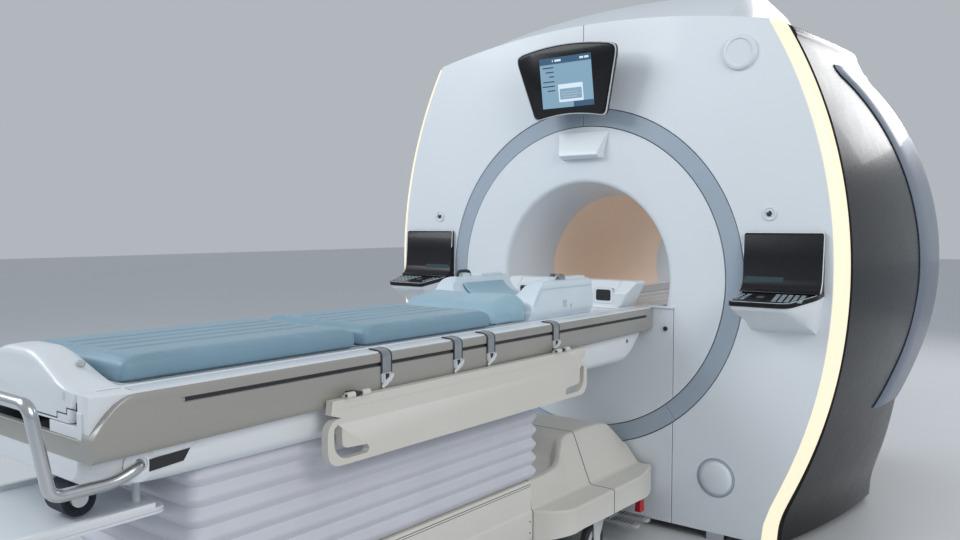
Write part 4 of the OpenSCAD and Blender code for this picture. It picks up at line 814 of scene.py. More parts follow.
def repeating_tree(name, kind, size, tilt, mat):
    """Geometry Nodes tree that sets one solid at each point of a mesh; its sizes are named inputs."""
    tree = bpy.data.node_groups.new(name, "GeometryNodeTree")
    face = tree.interface
    face.new_socket(name="Geometry", in_out="INPUT", socket_type="NodeSocketGeometry")
    sockets = {}
    for label, value in (("Width", size[0]), ("Depth", size[1]), ("Height", size[2])):
        s = face.new_socket(name=label, in_out="INPUT", socket_type="NodeSocketFloat")
        s.default_value = value * MM
        sockets[label] = s.identifier
    face.new_socket(name="Geometry", in_out="OUTPUT", socket_type="NodeSocketGeometry")
    n = tree.nodes
    link = tree.links.new
    start, end = n.new("NodeGroupInput"), n.new("NodeGroupOutput")
    if kind == "block":
        solid = n.new("GeometryNodeMeshCube")
        join = n.new("ShaderNodeCombineXYZ")
        for i, label in enumerate(("Width", "Depth", "Height")):
            link(start.outputs[label], join.inputs[i])
        link(join.outputs["Vector"], solid.inputs["Size"])
        mesh = solid.outputs["Mesh"]
    else:
        solid = n.new("GeometryNodeMeshCylinder")
        solid.inputs["Vertices"].default_value = 16
        half = n.new("ShaderNodeMath")
        half.operation = "MULTIPLY"
        half.inputs[1].default_value = 0.5
        link(start.outputs["Width"], half.inputs[0])
        link(half.outputs["Value"], solid.inputs["Radius"])
        link(start.outputs["Height"], solid.inputs["Depth"])
        mesh = solid.outputs["Mesh"]
    points = n.new("GeometryNodeMeshToPoints")
    link(start.outputs["Geometry"], points.inputs["Mesh"])
    inst = n.new("GeometryNodeInstanceOnPoints")
    link(points.outputs["Points"], inst.inputs["Points"])
    link(mesh, inst.inputs["Instance"])
    inst.inputs["Rotation"].default_value = tilt
    real = n.new("GeometryNodeRealizeInstances")
    link(inst.outputs["Instances"], real.inputs["Geometry"])
    paint = n.new("GeometryNodeSetMaterial")
    paint.inputs["Material"].default_value = mat
    link(real.outputs["Geometry"], paint.inputs["Geometry"])
    link(paint.outputs["Geometry"], end.inputs["Geometry"])
    return tree, sockets


def repeated(name, spots, size, kind, mat, body, tilt=(0, 0, 0), bevel=0.6):
    """One small solid at each spot, made by Geometry Nodes and turned into a plain mesh."""
    seed_mesh = bpy.data.meshes.new(name + "_spots")
    seed_mesh.from_pydata([(x * MM, y * MM, z * MM) for x, y, z in spots], [], [])
    seed = bpy.data.objects.new(name + "_spots", seed_mesh)
    scene.collection.objects.link(seed)
    tree, sockets = repeating_tree(name + "_tree", kind, size, tilt, mat)
    mod = seed.modifiers.new("repeat", "NODES")
    mod.node_group = tree
    for label, value in zip(("Width", "Depth", "Height"), size):
        mod[sockets[label]] = value * MM
    me = bpy.data.meshes.new_from_object(seed.evaluated_get(bpy.context.evaluated_depsgraph_get()))
    me.name = name
    bpy.data.objects.remove(seed)
    smooth_shade(me, 32)
    obj = bpy.data.objects.new(name, me)
    scene.collection.objects.link(obj)
    if bevel:
        add_bevel(obj, bevel, 1)
    return placed(obj, body, mat)


# Table on its base

BASE_HALF_W, BASE_Z, BASE_LOW_Z, SHELF_Z = 276.0, 360.0, 160.0, 262.0
BASE_HEAD_Y, BASE_FOOT_Y, NOSE_Y = FACE_Y - 767, FOOT_Y + 240, FACE_Y - 20
RIM_Z, RAIL_W, RAIL_IN, RAIL_TOP = 890.0, 330.0, 285.0, 886.0
RAIL_FOOT, RAIL_HEAD, TABLE_L, RAIL_CURVE = 760.0, 798.0, 2284.0, 96.0
UNDER_Z, UNDER_W = 686.0, 298.0
CRADLE_W, CRADLE_LOW, CRADLE_TOP = 262.0, 828.0, 888.0
CAP_Y, CAP_L, PAD_LOW, PAD_H, PAD_W = FOOT_Y + 8, 96.0, 888.3, 56.0, 236.0
COIL_Y0, COIL_Y1 = FACE_Y - 700, FACE_Y - 300
STRAP_YS = (FACE_Y - 1505, FACE_Y - 1215, FACE_Y - 1060, FACE_Y - 705)
HANDLE_ENTRY, HANDLE_R, TRAY_Z = FOOT_Y + 118, 12.5, 588.0
CASTER_YS, CASTER_X = {"head": FACE_Y - 378, "foot": FOOT_Y + 174}, 300.0
WHEEL_R, CASTER_TRAIL = 62.5, 34.0
SPLIT_Y = FACE_Y - 398
BELLOWS_Y0, BELLOWS_Y1, BELLOWS_W = FOOT_Y + 252, FACE_Y - 706, 268.0
PLEATS, PLEAT_DEPTH = 7, 13.0
PEDAL_YS, PEDAL_TOP = {"dock_pedal": FACE_Y - 146, "lift_pedal": FACE_Y - 228}, 88.4
GUARD_Y0, GUARD_Y1, GUARD_X = FACE_Y - 1732, FACE_Y - 552, 360.0
BAND_H, GROOVE_D = 42.0, 4.0
TRAY_W, TRAY_Y0, TRAY_Y1 = 200.0, FOOT_Y - 112, FOOT_Y + 236
ROLL_Y, ROLL_Z, ROLL_R = FOOT_Y + 70, TRAY_Z + 56.6, 40.5
STRAP_HALF, STRAP_DROP, CLIP_TURN = 20.0, 62.0, 0.6
PORT_Y, PORT_Z, DISH_Z, HANDLE_REACH = HEAD_Y - 150, 768.0, 735.0, 100.0
COIL_H, WEDGE_H, WEDGE_W = 132.0, 92.0, 215.0
CHANNELS = (-96, -32, 32, 96)


def whole(half):
    """Both halves of a section, drawn from its right side over to its left side."""
    return half + [(-x, z) for x, z in reversed(half)]


def casing_half(row, t):
    """Half section of a casing from its skirt to the middle, t inside the outer skin."""
    skirt, low, wall, top, rim, floor = row
    return bent([(skirt - t, low), (skirt - t, SHELF_Z - t), (wall - t, SHELF_Z - t), (top - t, rim - t),
                 (top - 26 - t, rim - t), (top - 40 - t, floor - t), (60, floor - t)], 11 - 0.4 * t, 5)


def casing(rows, low_y, high_y, n, t=10.0):
    """Shell t thick between two y positions."""
    rings = []
    for y in steps(low_y, high_y, n):
        row = spread(rows, y)
        rings.append(at_y(whole(casing_half(row, 0)) + whole(casing_half(row, t))[::-1], y))
    return loft(rings)


def casing_plate(rows, y, thick):
    """Plate that closes a casing at y."""
    return prism(whole(casing_half(spread(rows, y), 0)), y, y + thick)


def head_rows():
    """Rows along the head casing: y, then the six sizes that casing_half takes."""
    s, n = BASE_HEAD_Y, NOSE_Y
    return [(s, 282, 160, 276, 272, 358, 357.5), (s + 10, 300, 161, 276, 272, 358, 357.5),
            (s + 28, 332, 164, 276, 272, 358, 357.5), (s + 58, 362, 170, 276, 272, 359, 357.5),
            (s + 84, 379, 174, 276, 272, 360, 357.5), (s + 112, 386, 176, 276, 272, 362, 358),
            (s + 160, 386, 178, 277, 270, 367, 358), (s + 210, 386, 177, 279, 256, 379, 359),
            (s + 250, 386, 176, 281, 234, 404, 378), (s + 284, 386, 175, 283, 218, 433, 428),
            (s + 330, 386, 174, 284, 210, 446, 445.5), (n - 250, 386, 173, 284, 206, 444, 443.5),
            (n - 190, 386, 172, 284, 206, 441, 440.5), (n - 130, 378, 165, 284, 206, 431, 430.5),
            (n - 80, 366, 159, 283, 208, 399, 398.5), (n - 36, 353, 157, 282, 214, 360, 359.5),
            (n - 2, 337, 157, 280, 222, 329, 328.5)]


def foot_rows():
    """Rows along the foot casing, in the same columns."""
    s, e = BASE_FOOT_Y, FOOT_Y + 4
    return [(e, 342, 174, 280, 240, 300, 299.5), (e + 12, 356, 175, 281, 244, 312, 311.5),
            (e + 30, 370, 176, 282, 248, 330, 329.5), (e + 60, 382, 177, 283, 252, 346, 345.5),
            (e + 90, 386, 178, 283, 254, 352, 351.5), (s - 70, 386, 178, 282, 256, 356, 355.5),
            (s - 50, 372, 174, 280, 262, 357, 356.5), (s - 26, 338, 168, 278, 268, 357, 357),
            (s - 2, 284, 161, 276, 271, 358, 357.5), (s, 282, 160, 276, 272, 358, 357.5)]


def seam_round(rows, y, width=2.4, out=0.25):
    """Thin dark joint line that follows a casing's section."""
    row = spread(rows, y)
    outline = whole(casing_half(row, -out)) + whole(casing_half(row, 3))[::-1]
    return prism(outline, y - width / 2, y + width / 2)


def mirrored_path(half):
    """Open path over both halves, from the left foot to the right foot."""
    return [(-x, z) for x, z in half[::-1]] + half


def make_base():
    dressed("base_frame", FRAME_PAINT, bevel=2)
    dressed("lift_outer", ALUMINIUM, bevel=1)
    dressed("lift_inner", STEEL, bevel=1)
    head, foot = head_rows(), foot_rows()
    shell = merged(casing(head, BASE_HEAD_Y + SEAT, NOSE_Y - 2, 90), casing_plate(head, NOSE_Y - 6, 4))
    piece("head_casing_moulded", shell, "table_base", CREAM, ["head_casing"], sharp=38)
    shell = merged(casing(foot, FOOT_Y + 4, BASE_FOOT_Y - SEAT, 44), casing_plate(foot, FOOT_Y + 4, 4))
    piece("foot_casing_moulded", shell, "table_base", CREAM, ["foot_casing"], sharp=38)
    seams = [seam_round(head, SPLIT_Y, 4.0), seam_round(head, BASE_HEAD_Y + 1.4, 2.0, 0.1),
             seam_round(foot, BASE_FOOT_Y - 1.4, 2.0, 0.1)]
    w, low = BASE_HALF_W, BASE_LOW_Z
    for z in (SHELF_Z, BASE_Z - 10, BASE_Z - 17):
        seams.append(mirrored(block(w - 1, BASE_FOOT_Y + 2, z, w + 0.35, BASE_HEAD_Y - 2, z + 1.6)))
    piece("base_seams", merged(*seams), "table_base", JOINT_DARK)
    outer = [(w - 8, BASE_Z), (w, BASE_Z - 8), (w, SHELF_Z + 2), (w + 4, SHELF_Z - 5), (w + 4, low + 12), (w, low)]
    inner = [(w - 16, BASE_Z - 9), (w - 9, BASE_Z - 16), (w - 9, SHELF_Z), (w - 9, SHELF_Z - 4), (w - 9, low + 12),
             (w - 9, low)]
    outer = mirrored_path(rounded(outer, [3, 5, 3, 3, 6, 0.1], 4))
    inner = mirrored_path(rounded(inner, [3, 5, 3, 3, 3, 0.1], 4))
    piece("base_cover_moulded", prism(outer + inner[::-1], BASE_FOOT_Y, BASE_HEAD_Y), "table_base", CREAM,
          ["base_cover"], sharp=34)
    spots = [(s * (w + 4.2), y, z) for y in (BASE_HEAD_Y - 12, BASE_FOOT_Y + 12)
             for s in (-1, 1) for z in (188, 226)]
    repeated("base_screws", spots, (6, 6, 1.6), "round", DARK_METAL, "table_base",
             tilt=(0, math.pi / 2, 0), bevel=0)


def make_bellows():
    y0, y1, w, low, high = BELLOWS_Y0, BELLOWS_Y1, BELLOWS_W, BASE_Z + SEAT, UNDER_Z - SEAT
    rings = []
    for t in steps(0, 1, PLEATS * 14):
        inset = PLEAT_DEPTH * (1 - abs(math.sin(math.pi * PLEATS * t))) ** 0.8
        sag = 1.5 * math.sin(math.pi * 2 * t)
        plan = rounded(rectangle(inset - w, y0 + inset, w - inset, y1 - inset), 34, 8)
        level = low + (high - low) * t
        rings.append([(x, y, level + sag * math.cos(x * 0.011) * math.cos(y * 0.004)) for x, y in plan])
    for end, level in ((0, low), (-1, high)):
        rings[end] = [(p[0], p[1], level) for p in rings[end]]
    obj = piece("bellows_pleated", loft(rings), "table_base", BELLOWS, ["bellows"], sharp=42)
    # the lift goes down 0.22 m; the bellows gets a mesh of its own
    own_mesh(obj)


def make_wheels():
    rim = [(7, -12.5), (38, -10.5), (42, -12), (42, 12), (38, 10.5), (7, 12.5)]
    for end, y in CASTER_YS.items():
        for side, sx in (("left", -1), ("right", 1)):
            wheel = "wheel_%s_%s" % (end, side)
            dressed("fork_%s_%s" % (end, side), HUB_WHITE, bevel=1.2)
            dressed(wheel, RUBBER, bevel=1)
            hub = spin(rim, (sx * CASTER_X, y - CASTER_TRAIL, WHEEL_R), (1, 0, 0), 40)
            piece(wheel + "_hub", hub, wheel, HUB_WHITE, bevel=0.5)


def make_pedals():
    for node, y in PEDAL_YS.items():
        dressed(node, PEDAL_GREY, bevel=2.5, segments=3)
        spots = [(s * (270 + 14 * k), y, PEDAL_TOP) for s in (-1, 1) for k in range(8)]
        repeated(node + "_ribs", spots, (4, 30, 1.6), "block", SOFT_BLACK, node)
    dressed("dock_lever", LEVER_RED, bevel=2, segments=3)


def rail_low(y):
    """Lower edge of a side rail, which climbs towards the head end."""
    return RAIL_FOOT + (RAIL_HEAD - RAIL_FOOT) * min(1, max(0, (y - FOOT_Y) / TABLE_L))


def rail_top(y):
    """Upper edge of a side rail, which curves down at the foot end."""
    return RAIL_TOP - 84 * (1 - min(1, max(0, (y - FOOT_Y) / RAIL_CURVE))) ** 2


def make_rails():
    ys = steps(FOOT_Y + 4, FOOT_Y + RAIL_CURVE, 24) + steps(FOOT_Y + 110, FOOT_Y + 186, 3)
    ys += steps(FOOT_Y + 190, FOOT_Y + 204, 5) + steps(FOOT_Y + 260, HEAD_Y - 60, 24) + steps(HEAD_Y - 44, HEAD_Y, 6)
    rings = []
    for y in ys:
        b, t, w = rail_low(y), rail_top(y), RAIL_W
        g = GROOVE_D * ease((y - FOOT_Y - 188) / 14) * (1 - ease((y - HEAD_Y + 44) / 8))
        mid = min(RIM_Z - 38, t - 14)
        section = [(RAIL_IN, b), (w - 14, b), (w - 7, b + 2), (w - 2.5, b + 7), (w - 0.6, b + 14), (w, b + 24),
                   (w, mid), (w - g, mid + 1.5), (w - g, min(mid + 10, t - 6)), (w, min(mid + 11.5, t - 5)),
                   (w, t - 4), (w - 1, t - 1.6), (w - 4, t), (RAIL_IN, t)]
        rings.append(at_y(section, y))
    rails = mirrored(loft(rings))
    nose = rounded(rectangle(FOOT_Y + 4, RAIL_FOOT, FOOT_Y + 20, RAIL_FOOT + BAND_H), 3, 3)
    band = prism(nose, -RAIL_IN - 1, RAIL_IN + 1, "yz")
    piece("side_rails_formed", merged(rails, band), "table_top", TAUPE, ["side_rails"],
          bevel=1.2, sharp=30)
    w = RAIL_W - GROOVE_D
    # black strip on the floor of the rail groove: painted shade in the groove
    lines = block(w - 0.3, FOOT_Y + 202, RIM_Z - 36.5, w + 0.3, HEAD_Y - 44, RIM_Z - 28)
    piece("rail_grooves", mirrored(lines), "table_top", SOFT_BLACK)


def make_top():
    dressed("top_frame", FRAME_PAINT, bevel=1.5)
    dressed("top_shell", TABLE_WHITE, bevel=1.6, segments=3, sharp=40)
    low = RAIL_FOOT + BAND_H + 0.2
    apron = merged(block(150, FOOT_Y + 7, low, 284, FOOT_Y + 24, CRADLE_LOW - 2),
                   block(266, FOOT_Y + 5, low, 284, FOOT_Y + 24, CRADLE_LOW + 28))
    piece("foot_apron", mirrored(apron), "table_top", TABLE_WHITE, bevel=1.5, segments=3)
    # rows of the under cover: y, how much narrower, how much higher its floor
    f, h = FOOT_Y, HEAD_Y
    rows = [(f + 6, 34, 30), (f + 24, 22, 18), (f + 60, 10, 8), (f + 120, 3, 2.5), (f + 200, 0, 0),
            (h - 180, 0, 0), (h - 150, 0, 3), (h - 110, 0, 20), (h - 72, 0, 48), (h - 44, 0, 76)]
    rings = []
    for y in steps(f + 6, f + 220, 22) + steps(f + 300, h - 200, 10) + steps(h - 185, h - 44, 22):
        narrow, lift = spread(rows, y)
        w, low, top = UNDER_W - narrow, UNDER_Z + lift, rail_low(y) - SEAT
        half = bent([(0, low), (w - 24, low), (w - 3, low + 18), (w, top)], 12, 5)
        rings.append(at_y(half + [(-x, z) for x, z in half[::-1][:-1]], y))
    piece("under_cover_moulded", loft(rings), "table_top", TABLE_WHITE, ["under_cover"], sharp=30)
    # black patches in the slot and the port: painted shade in the openings
    slot = [(HANDLE_ENTRY + 18, 716), (HANDLE_ENTRY + 96, 722), (HANDLE_ENTRY + 112, 746), (HANDLE_ENTRY + 18, 741)]
    slot = prism(slot, UNDER_W - 3.5, UNDER_W + 0.6, "yz")
    port = spin(rectangle(0, 0, 7, 1.2), (UNDER_W - 0.5, PORT_Y, PORT_Z), (1, 0, 0), 24)
    piece("under_cover_slots", merged(mirrored(slot), mirrored(port)), "table_top", SOFT_BLACK)
    ring = spin([(9, 0), (12, 0), (12, 2), (9, 3)], (UNDER_W - 0.2, PORT_Y, PORT_Z), (1, 0, 0), 32)
    dish = spin([(14, 1.2), (24, 0.2), (34, 0.2), (36, 1.4), (33, 3.2), (24, 3.6), (15, 5)],
                (UNDER_W - 4.5, HANDLE_ENTRY, DISH_Z), (1, 0, 0), 48)
    piece("under_cover_rings", mirrored(merged(ring, dish)), "table_top", TABLE_WHITE)
    crease = [(f + 226, 742), (f + 268, 742.8), (f + 262, 746.2), (f + 246, 756), (f + 240, 752)]
    piece("under_cover_pad", mirrored(prism(crease, UNDER_W - 2, UNDER_W + 0.8, "yz")), "table_top", TABLE_WHITE,
          bevel=0.5)


def make_handle():
    low, reach, hx = UNDER_Z + 27, FOOT_Y - HANDLE_REACH, RAIL_W - 26
    side = [(256, HANDLE_ENTRY, low + 22), (hx, HANDLE_ENTRY, low + 22), (hx, HANDLE_ENTRY - 60, low),
            (hx, reach + 34, low), (hx, reach, RIM_Z + 2)]
    path = bent(side + [(-x, y, z) for x, y, z in side[::-1]], 26, 10)
    piece("push_handle_tube", bar(path, HANDLE_R, 28), "table_top", STEEL, ["push_handle"], sharp=50)


def make_guards():
    dressed("guard_hinges", SOFT_BLACK, bevel=1)
    for side, sx in (("right", 1), ("left", -1)):
        dressed("guard_" + side, CREAM, bevel=4, segments=4, sharp=40)
        line = block(sx * (GUARD_X + 0.1), GUARD_Y0 + 30, 772, sx * (GUARD_X + 0.5), GUARD_Y1 - 30, 773.4)
        piece("guard_%s_line" % side, line, "guard_" + side, BUCKLE)


def tray_outline(grow):
    """Plan of the foot tray, grow larger all round."""
    w, y0, y1 = TRAY_W + grow, TRAY_Y0 - grow, TRAY_Y1 + grow
    return rounded(rectangle(-w, y0, w, y1), 30 + grow, 8)


def make_tray():
    dressed("foot_tray", TABLE_WHITE, bevel=2.5, segments=3)
    # grey band round the tray: painted shade in its groove
    low, high, inner = TRAY_Z + 6, TRAY_Z + 7.6, tray_outline(-1)
    outer = [(x * 0.9985, y) for x, y in tray_outline(1)]
    ring = loft([[(x, y, z) for x, y in outline]
                 for outline, z in ((inner, low), (outer, low), (outer, high), (inner, high))], caps=False)
    piece("tray_groove", ring, "table_top", BUCKLE)
    # roll of spare strap on a core
    spiral = []
    for t in steps(0, 1, 150):
        a, r = 2 * math.pi * 5.5 * t, ROLL_R - 21 * t
        spiral.append((r * math.cos(a), r * math.sin(a)))
    outline = [(ROLL_Y + y * k, ROLL_Z + z * k) for k, turns in ((1, spiral), (0.935, spiral[::-1])) for y, z in turns]
    core = spin(rectangle(0, 0, 18, 80), (61, ROLL_Y, ROLL_Z), (1, 0, 0), 40)
    piece("strap_roll_wound", [(prism(outline, 64, 138, "yz"), WEBBING_EDGE), (core, HUB_WHITE)], "table_top", None,
          ["strap_roll"])


def strap_path(y):
    return bent([(286, y, RIM_Z + 4), (318, y, RIM_Z + 2.2), (332, y, RIM_Z - 5), (332, y, RIM_Z - STRAP_DROP)], 12, 6)


def ribbon(path, half_w, thick):
    """Flat band with rounded edges, half_w to each side in y, along a path drawn in x and z."""
    pts = [Vector(p) for p in path]
    rings = []
    for i, p in enumerate(pts):
        t = (pts[min(i + 1, len(pts) - 1)] - pts[max(i - 1, 0)]).normalized()
        n = Vector((t.z, 0, -t.x)) * (-1 if t.x > 0 or t.z < 0 else 1)
        side = Vector((0, 1, 0))
        shape = [(-1, 0.0), (-0.96, 0.42), (-0.9, 0.5), (0.9, 0.5), (0.96, 0.42), (1, 0.0), (0.96, -0.42),
                 (0.9, -0.5), (-0.9, -0.5), (-0.96, -0.42)]
        rings.append([tuple(p + side * half_w * a + n * thick * b) for a, b in shape])
    return loft(rings)


def make_straps():
    bands, edges, buckles, tongues, clips = [], [], [], [], []
    low = RIM_Z - STRAP_DROP
    c, s = math.cos(CLIP_TURN), math.sin(CLIP_TURN)
    clip = [(-24, -4), (-6, -7), (22, -5), (30, 2), (22, 5), (-6, 7), (-24, 4)]
    for y in STRAP_YS:
        path = strap_path(y)
        bands.append(ribbon(path, STRAP_HALF - 0.4, 2.6))
        for d in (2.6 - STRAP_HALF, STRAP_HALF - 2.6):
            edges.append(ribbon([(x, py + d, z) for x, py, z in path], 2.4, 3.0))
        ring = rounded([(y - 19, low - 20), (y + 19, low - 20), (y + 21, low + 6), (y - 21, low + 6)], 5, 4)
        buckles += [prism(ring, 330.4, 334.6, "yz"), block(334.6, y - 13, low - 15, 335.2, y + 13, low + 1)]
        tongue = rounded([(y - 5, low - 18), (y + 5, low - 18), (y + 7, low + 4), (y - 7, low + 4)], 3, 3)
        tongues.append(prism(tongue, 334.8, 336.2, "yz"))
        turned = [(y + a * c - b * s, low - 16 + a * s + b * c) for a, b in clip]
        clips.append(prism(rounded(turned, 2.5, 3), 335, 337.4, "yz"))
    piece("strap_clips", mirrored(merged(*clips)), "table_top", HUB_WHITE, bevel=0.8)
    piece("straps_webbing", mirrored(merged(*bands)), "table_top", WEBBING, ["straps"], sharp=50)
    piece("strap_borders", mirrored(merged(*edges)), "table_top", WEBBING_EDGE, sharp=50)
    piece("strap_buckles", mirrored(merged(*buckles)), "table_top", BUCKLE, ["strap_hooks"], bevel=1)
    piece("strap_tongues", mirrored(merged(*tongues)), "table_top", SOFT_BLACK, bevel=0.5)


def bell(t):
    """Height of the cap across its width, from 0 at the sides (t is -1 or 1) to 1 in the middle."""
    return 0.5 + 0.5 * math.cos(math.pi * max(0.0, abs(t) - 0.12) / 0.88)


def make_cradle():
    w = CRADLE_W
    half = [(0, CRADLE_LOW), (w - 28, CRADLE_LOW), (w, RIM_Z - 12), (w, RIM_Z + 2), (w - 9, RIM_Z + 2),
            (w - 13, CRADLE_TOP), (0, CRADLE_TOP)]
    outline = half + [(-x, z) for x, z in half[::-1][1:-1]]
    plan = rounded(outline, [0, 8, 6, 2, 2, 2, 0, 2, 2, 2, 6, 8], 3)
    piece("cradle_formed", prism(plan, CAP_Y + 40, HEAD_Y - 10), "sliding_cradle", TABLE_WHITE,
          ["cradle"], sharp=30)
    rings = []
    rows = [(CAP_Y, 0.955, 52), (CAP_Y + 1.5, 0.975, 60), (CAP_Y + 5, 0.99, 66), (CAP_Y + 12, 1, 70),
            (CAP_Y + 50, 1, 72), (CAP_Y + 72, 1, 70), (CAP_Y + 86, 1, 62), (CAP_Y + CAP_L, 1, 50)]
    for y in steps(CAP_Y, CAP_Y + CAP_L, 36):
        k, rise = spread(rows, y)
        top = [(w * k * t, y, RIM_Z + rise * bell(t)) for t in steps(1, -1, 64)]
        rings.append([(-w * k + 28, y, CRADLE_LOW), (w * k - 28, y, CRADLE_LOW), (w * k, y, RIM_Z - 12)] + top
                     + [(-w * k, y, RIM_Z - 12)])
    piece("cradle_cap", loft(rings), "sliding_cradle", TABLE_WHITE, bevel=1.5, sharp=36)
    # stepped joint line and a plain label on the end of the cap
    seam = [(262, 872), (262, 858), (222, 858), (222, 846), (182, 846), (182, 834), (0, 834)]
    bars = []
    for (xa, za), (xb, zb) in zip(seam, seam[1:]):
        bars.append(block(min(xa, xb) - 1.2, CAP_Y - 0.35, min(za, zb) - 1.2,
                          max(xa, xb) + 1.2, CAP_Y + 0.6, max(za, zb) + 1.2))
    piece("cap_joint", mirrored(merged(*bars)), "sliding_cradle", JOINT_DARK)
    piece("cap_label", block(206, CAP_Y - 0.3, 872, 218, CAP_Y + 0.5, 888), "sliding_cradle", BUCKLE)
    peg = spin([(0, 0), (9, 0), (9, 7), (6, 9), (0, 9)], (150, CAP_Y + 66, RIM_Z + 38), (0.3, 0, 1), 24)
    piece("cap_pegs", mirrored(peg), "sliding_cradle", BUCKLE, bevel=0.8)


def pillow_shape(x0, x1, y0, y1, low, high):
    """Rounded pad as rings along y, a little smaller than its place."""
    rings = []
    for y, pinch, drop in ((y0, 14, 9), (y0 + 5, 7, 5), (y0 + 16, 2, 1), (y0 + 34, 0, 0), ((y0 + y1) / 2, 0, 0),
                           (y1 - 34, 0, 0), (y1 - 16, 2, 1), (y1 - 5, 7, 5), (y1, 14, 9)):
        section = rounded(rectangle(x0 + pinch, low + drop * 0.3, x1 - pinch, high - drop), 15, 5)
        rings.append(at_y(section, y))
    return loft(rings)


def swell(obj, cap, voxel=6.0, pressure=4.0, frames=20):
    """Blow a pad up with Cloth, with a cap on how far a point may move."""
    mod = obj.modifiers.new("remesh", "REMESH")
    mod.mode = "VOXEL"
    mod.voxel_size = voxel * MM
    deps = bpy.context.evaluated_depsgraph_get()
    me = bpy.data.meshes.new_from_object(obj.evaluated_get(deps))
    obj.modifiers.remove(mod)
    obj.data = me
    rest = np.empty(len(me.vertices) * 3)
    me.vertices.foreach_get("co", rest)
    rest = rest.reshape(-1, 3)
    cloth = obj.modifiers.new("swell", "CLOTH")
    cloth.settings.use_pressure = True
    cloth.settings.uniform_pressure_force = pressure
    cloth.settings.quality = 4
    cloth.settings.tension_stiffness = 18
    cloth.settings.bending_stiffness = 2.0
    cloth.settings.effector_weights.gravity = 0
    cloth.point_cache.frame_start = 1
    cloth.point_cache.frame_end = frames
    for frame_number in range(1, frames + 1):
        scene.frame_set(frame_number)
    deps = bpy.context.evaluated_depsgraph_get()
    moved = bpy.data.meshes.new_from_object(obj.evaluated_get(deps))
    now = np.empty(len(moved.vertices) * 3)
    moved.vertices.foreach_get("co", now)
    now = now.reshape(-1, 3)
    obj.modifiers.remove(cloth)
    scene.frame_set(1)
    step = now - rest
    far = np.linalg.norm(step, axis=1, keepdims=True)
    step *= np.minimum(1, cap * MM / np.maximum(far, 1e-9))
    moved.vertices.foreach_set("co", (rest + step).ravel())
    obj.data = moved


def pressed(obj, limits, channels, depth, width):
    """Keep a pad inside its place, flat below, and press sewn channels into its top."""
    x0, x1, y0, y1, low, high = limits
    me = obj.data
    co = np.empty(len(me.vertices) * 3)
    me.vertices.foreach_get("co", co)
    co = co.reshape(-1, 3) / MM
    co[:, 0] = np.clip(co[:, 0], x0, x1)
    co[:, 1] = np.clip(co[:, 1], y0, y1)
    co[:, 2] = np.clip(co[:, 2], low, high)
    upper = np.clip((co[:, 2] - (low + high) / 2) / ((high - low) / 2), 0, 1)
    for cx, ya, yb in channels:
        across = np.exp(-((co[:, 0] - cx) / width) ** 2)
        along = 1 / (1 + np.exp(-(co[:, 1] - ya) / 5)) / (1 + np.exp((co[:, 1] - yb) / 5))
        co[:, 2] -= depth * across * along * upper
    me.vertices.foreach_set("co", (co * MM).ravel())
    me.update()


def cushioned(obj, look, cap, limits, channels, depth=6.0, width=7.0):
    """Swell a pad on the cradle and press it into shape; the new mesh gets its finish and its place on the cradle
    again.
    """
    swell(obj, cap)
    pressed(obj, limits, channels, depth, width)
    smooth_shade(obj.data, 70)
    placed(obj, "sliding_cradle", look, ["mattress"])
    mod = obj.modifiers.new("smooth", "SUBSURF")
    mod.levels = mod.render_levels = 1


def make_pads():
    split, w, high = FACE_Y - 1490, PAD_W, PAD_LOW + PAD_H
    inset, drop, seam_depth = ((6, 9, 6.6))
    for name, y0, y1 in (("mattress_foot", CAP_Y + CAP_L + 8, split - 2), ("mattress_middle", split + 2, FACE_Y - 900)):
        shape = pillow_shape(-w + inset, w - inset, y0 + inset, y1 - inset, PAD_LOW, high - drop)
        obj = piece(name, shape, "sliding_cradle", VINYL, ["mattress"], sharp=60)
        cushioned(obj, VINYL, 9, (-w, w, y0, y1, PAD_LOW, high), [(cx, y0 + 60, y1 - 60) for cx in CHANNELS])
        # dark bars down the sewn channels: painted shade in the creases
        seams = [bar([(cx, y, high - seam_depth) for y in steps(y0 + 66, y1 - 66, 30)], 0.9, 6) for cx in CHANNELS]
        piece(name + "_seams", merged(*seams), "sliding_cradle", VINYL_SEAM_SHADE)
        # dark welt round the bottom edge: painted shade where the pad meets the cradle
        welt = rounded(rectangle(1.2 - w, y0 + 1.2, w - 1.2, y1 - 1.2), 14, 6)
        loop = [(x, y, PAD_LOW + 8) for x, y in welt]
        piece(name + "_welt", bar(loop + loop[:1], 1.3, 8), "sliding_cradle", VINYL_SEAM_SHADE)
    # wedge that runs up to the coil
    y0, y1 = FACE_Y - 894, COIL_Y0 - 6
    rows = [(y0, 22, 205), (y0 + 8, 44, 211), (y0 + 40, 66, 214), (y0 + 110, 80, WEDGE_W), (y1 - 16, 90, WEDGE_W),
            (y1 - 4, 88, 213), (y1, 76, 208)]
    rings = []
    for y in steps(y0, y1, 24):
        high, w = spread(rows, y)
        side, top = PAD_LOW + high * 0.72, PAD_LOW + high
        section = [(-w, PAD_LOW), (w, PAD_LOW), (w, side), (w - 36, top), (-w + 36, top), (-w, side)]
        rings.append(at_y(rounded(section, 16, 5), y))
    obj = piece("wedge_cushion", loft(rings), "sliding_cradle", CUSHION, ["mattress"], sharp=60)
    limits = (-WEDGE_W, WEDGE_W, y0, y1, PAD_LOW, PAD_LOW + WEDGE_H)
    cushioned(obj, CUSHION, 6, limits, [(0, y0 + 30, y1 + 30)], 5, 40)


def trough_arc(radius, rise, depth, start, end, n):
    """Arc in the coil's trough, from angle start to angle end, rise above the coil's top edge."""
    turns = [math.radians(d) for d in steps(start, end, n)]
    return [(radius * math.cos(a), PAD_LOW + COIL_H + rise - depth * math.sin(a)) for a in turns]


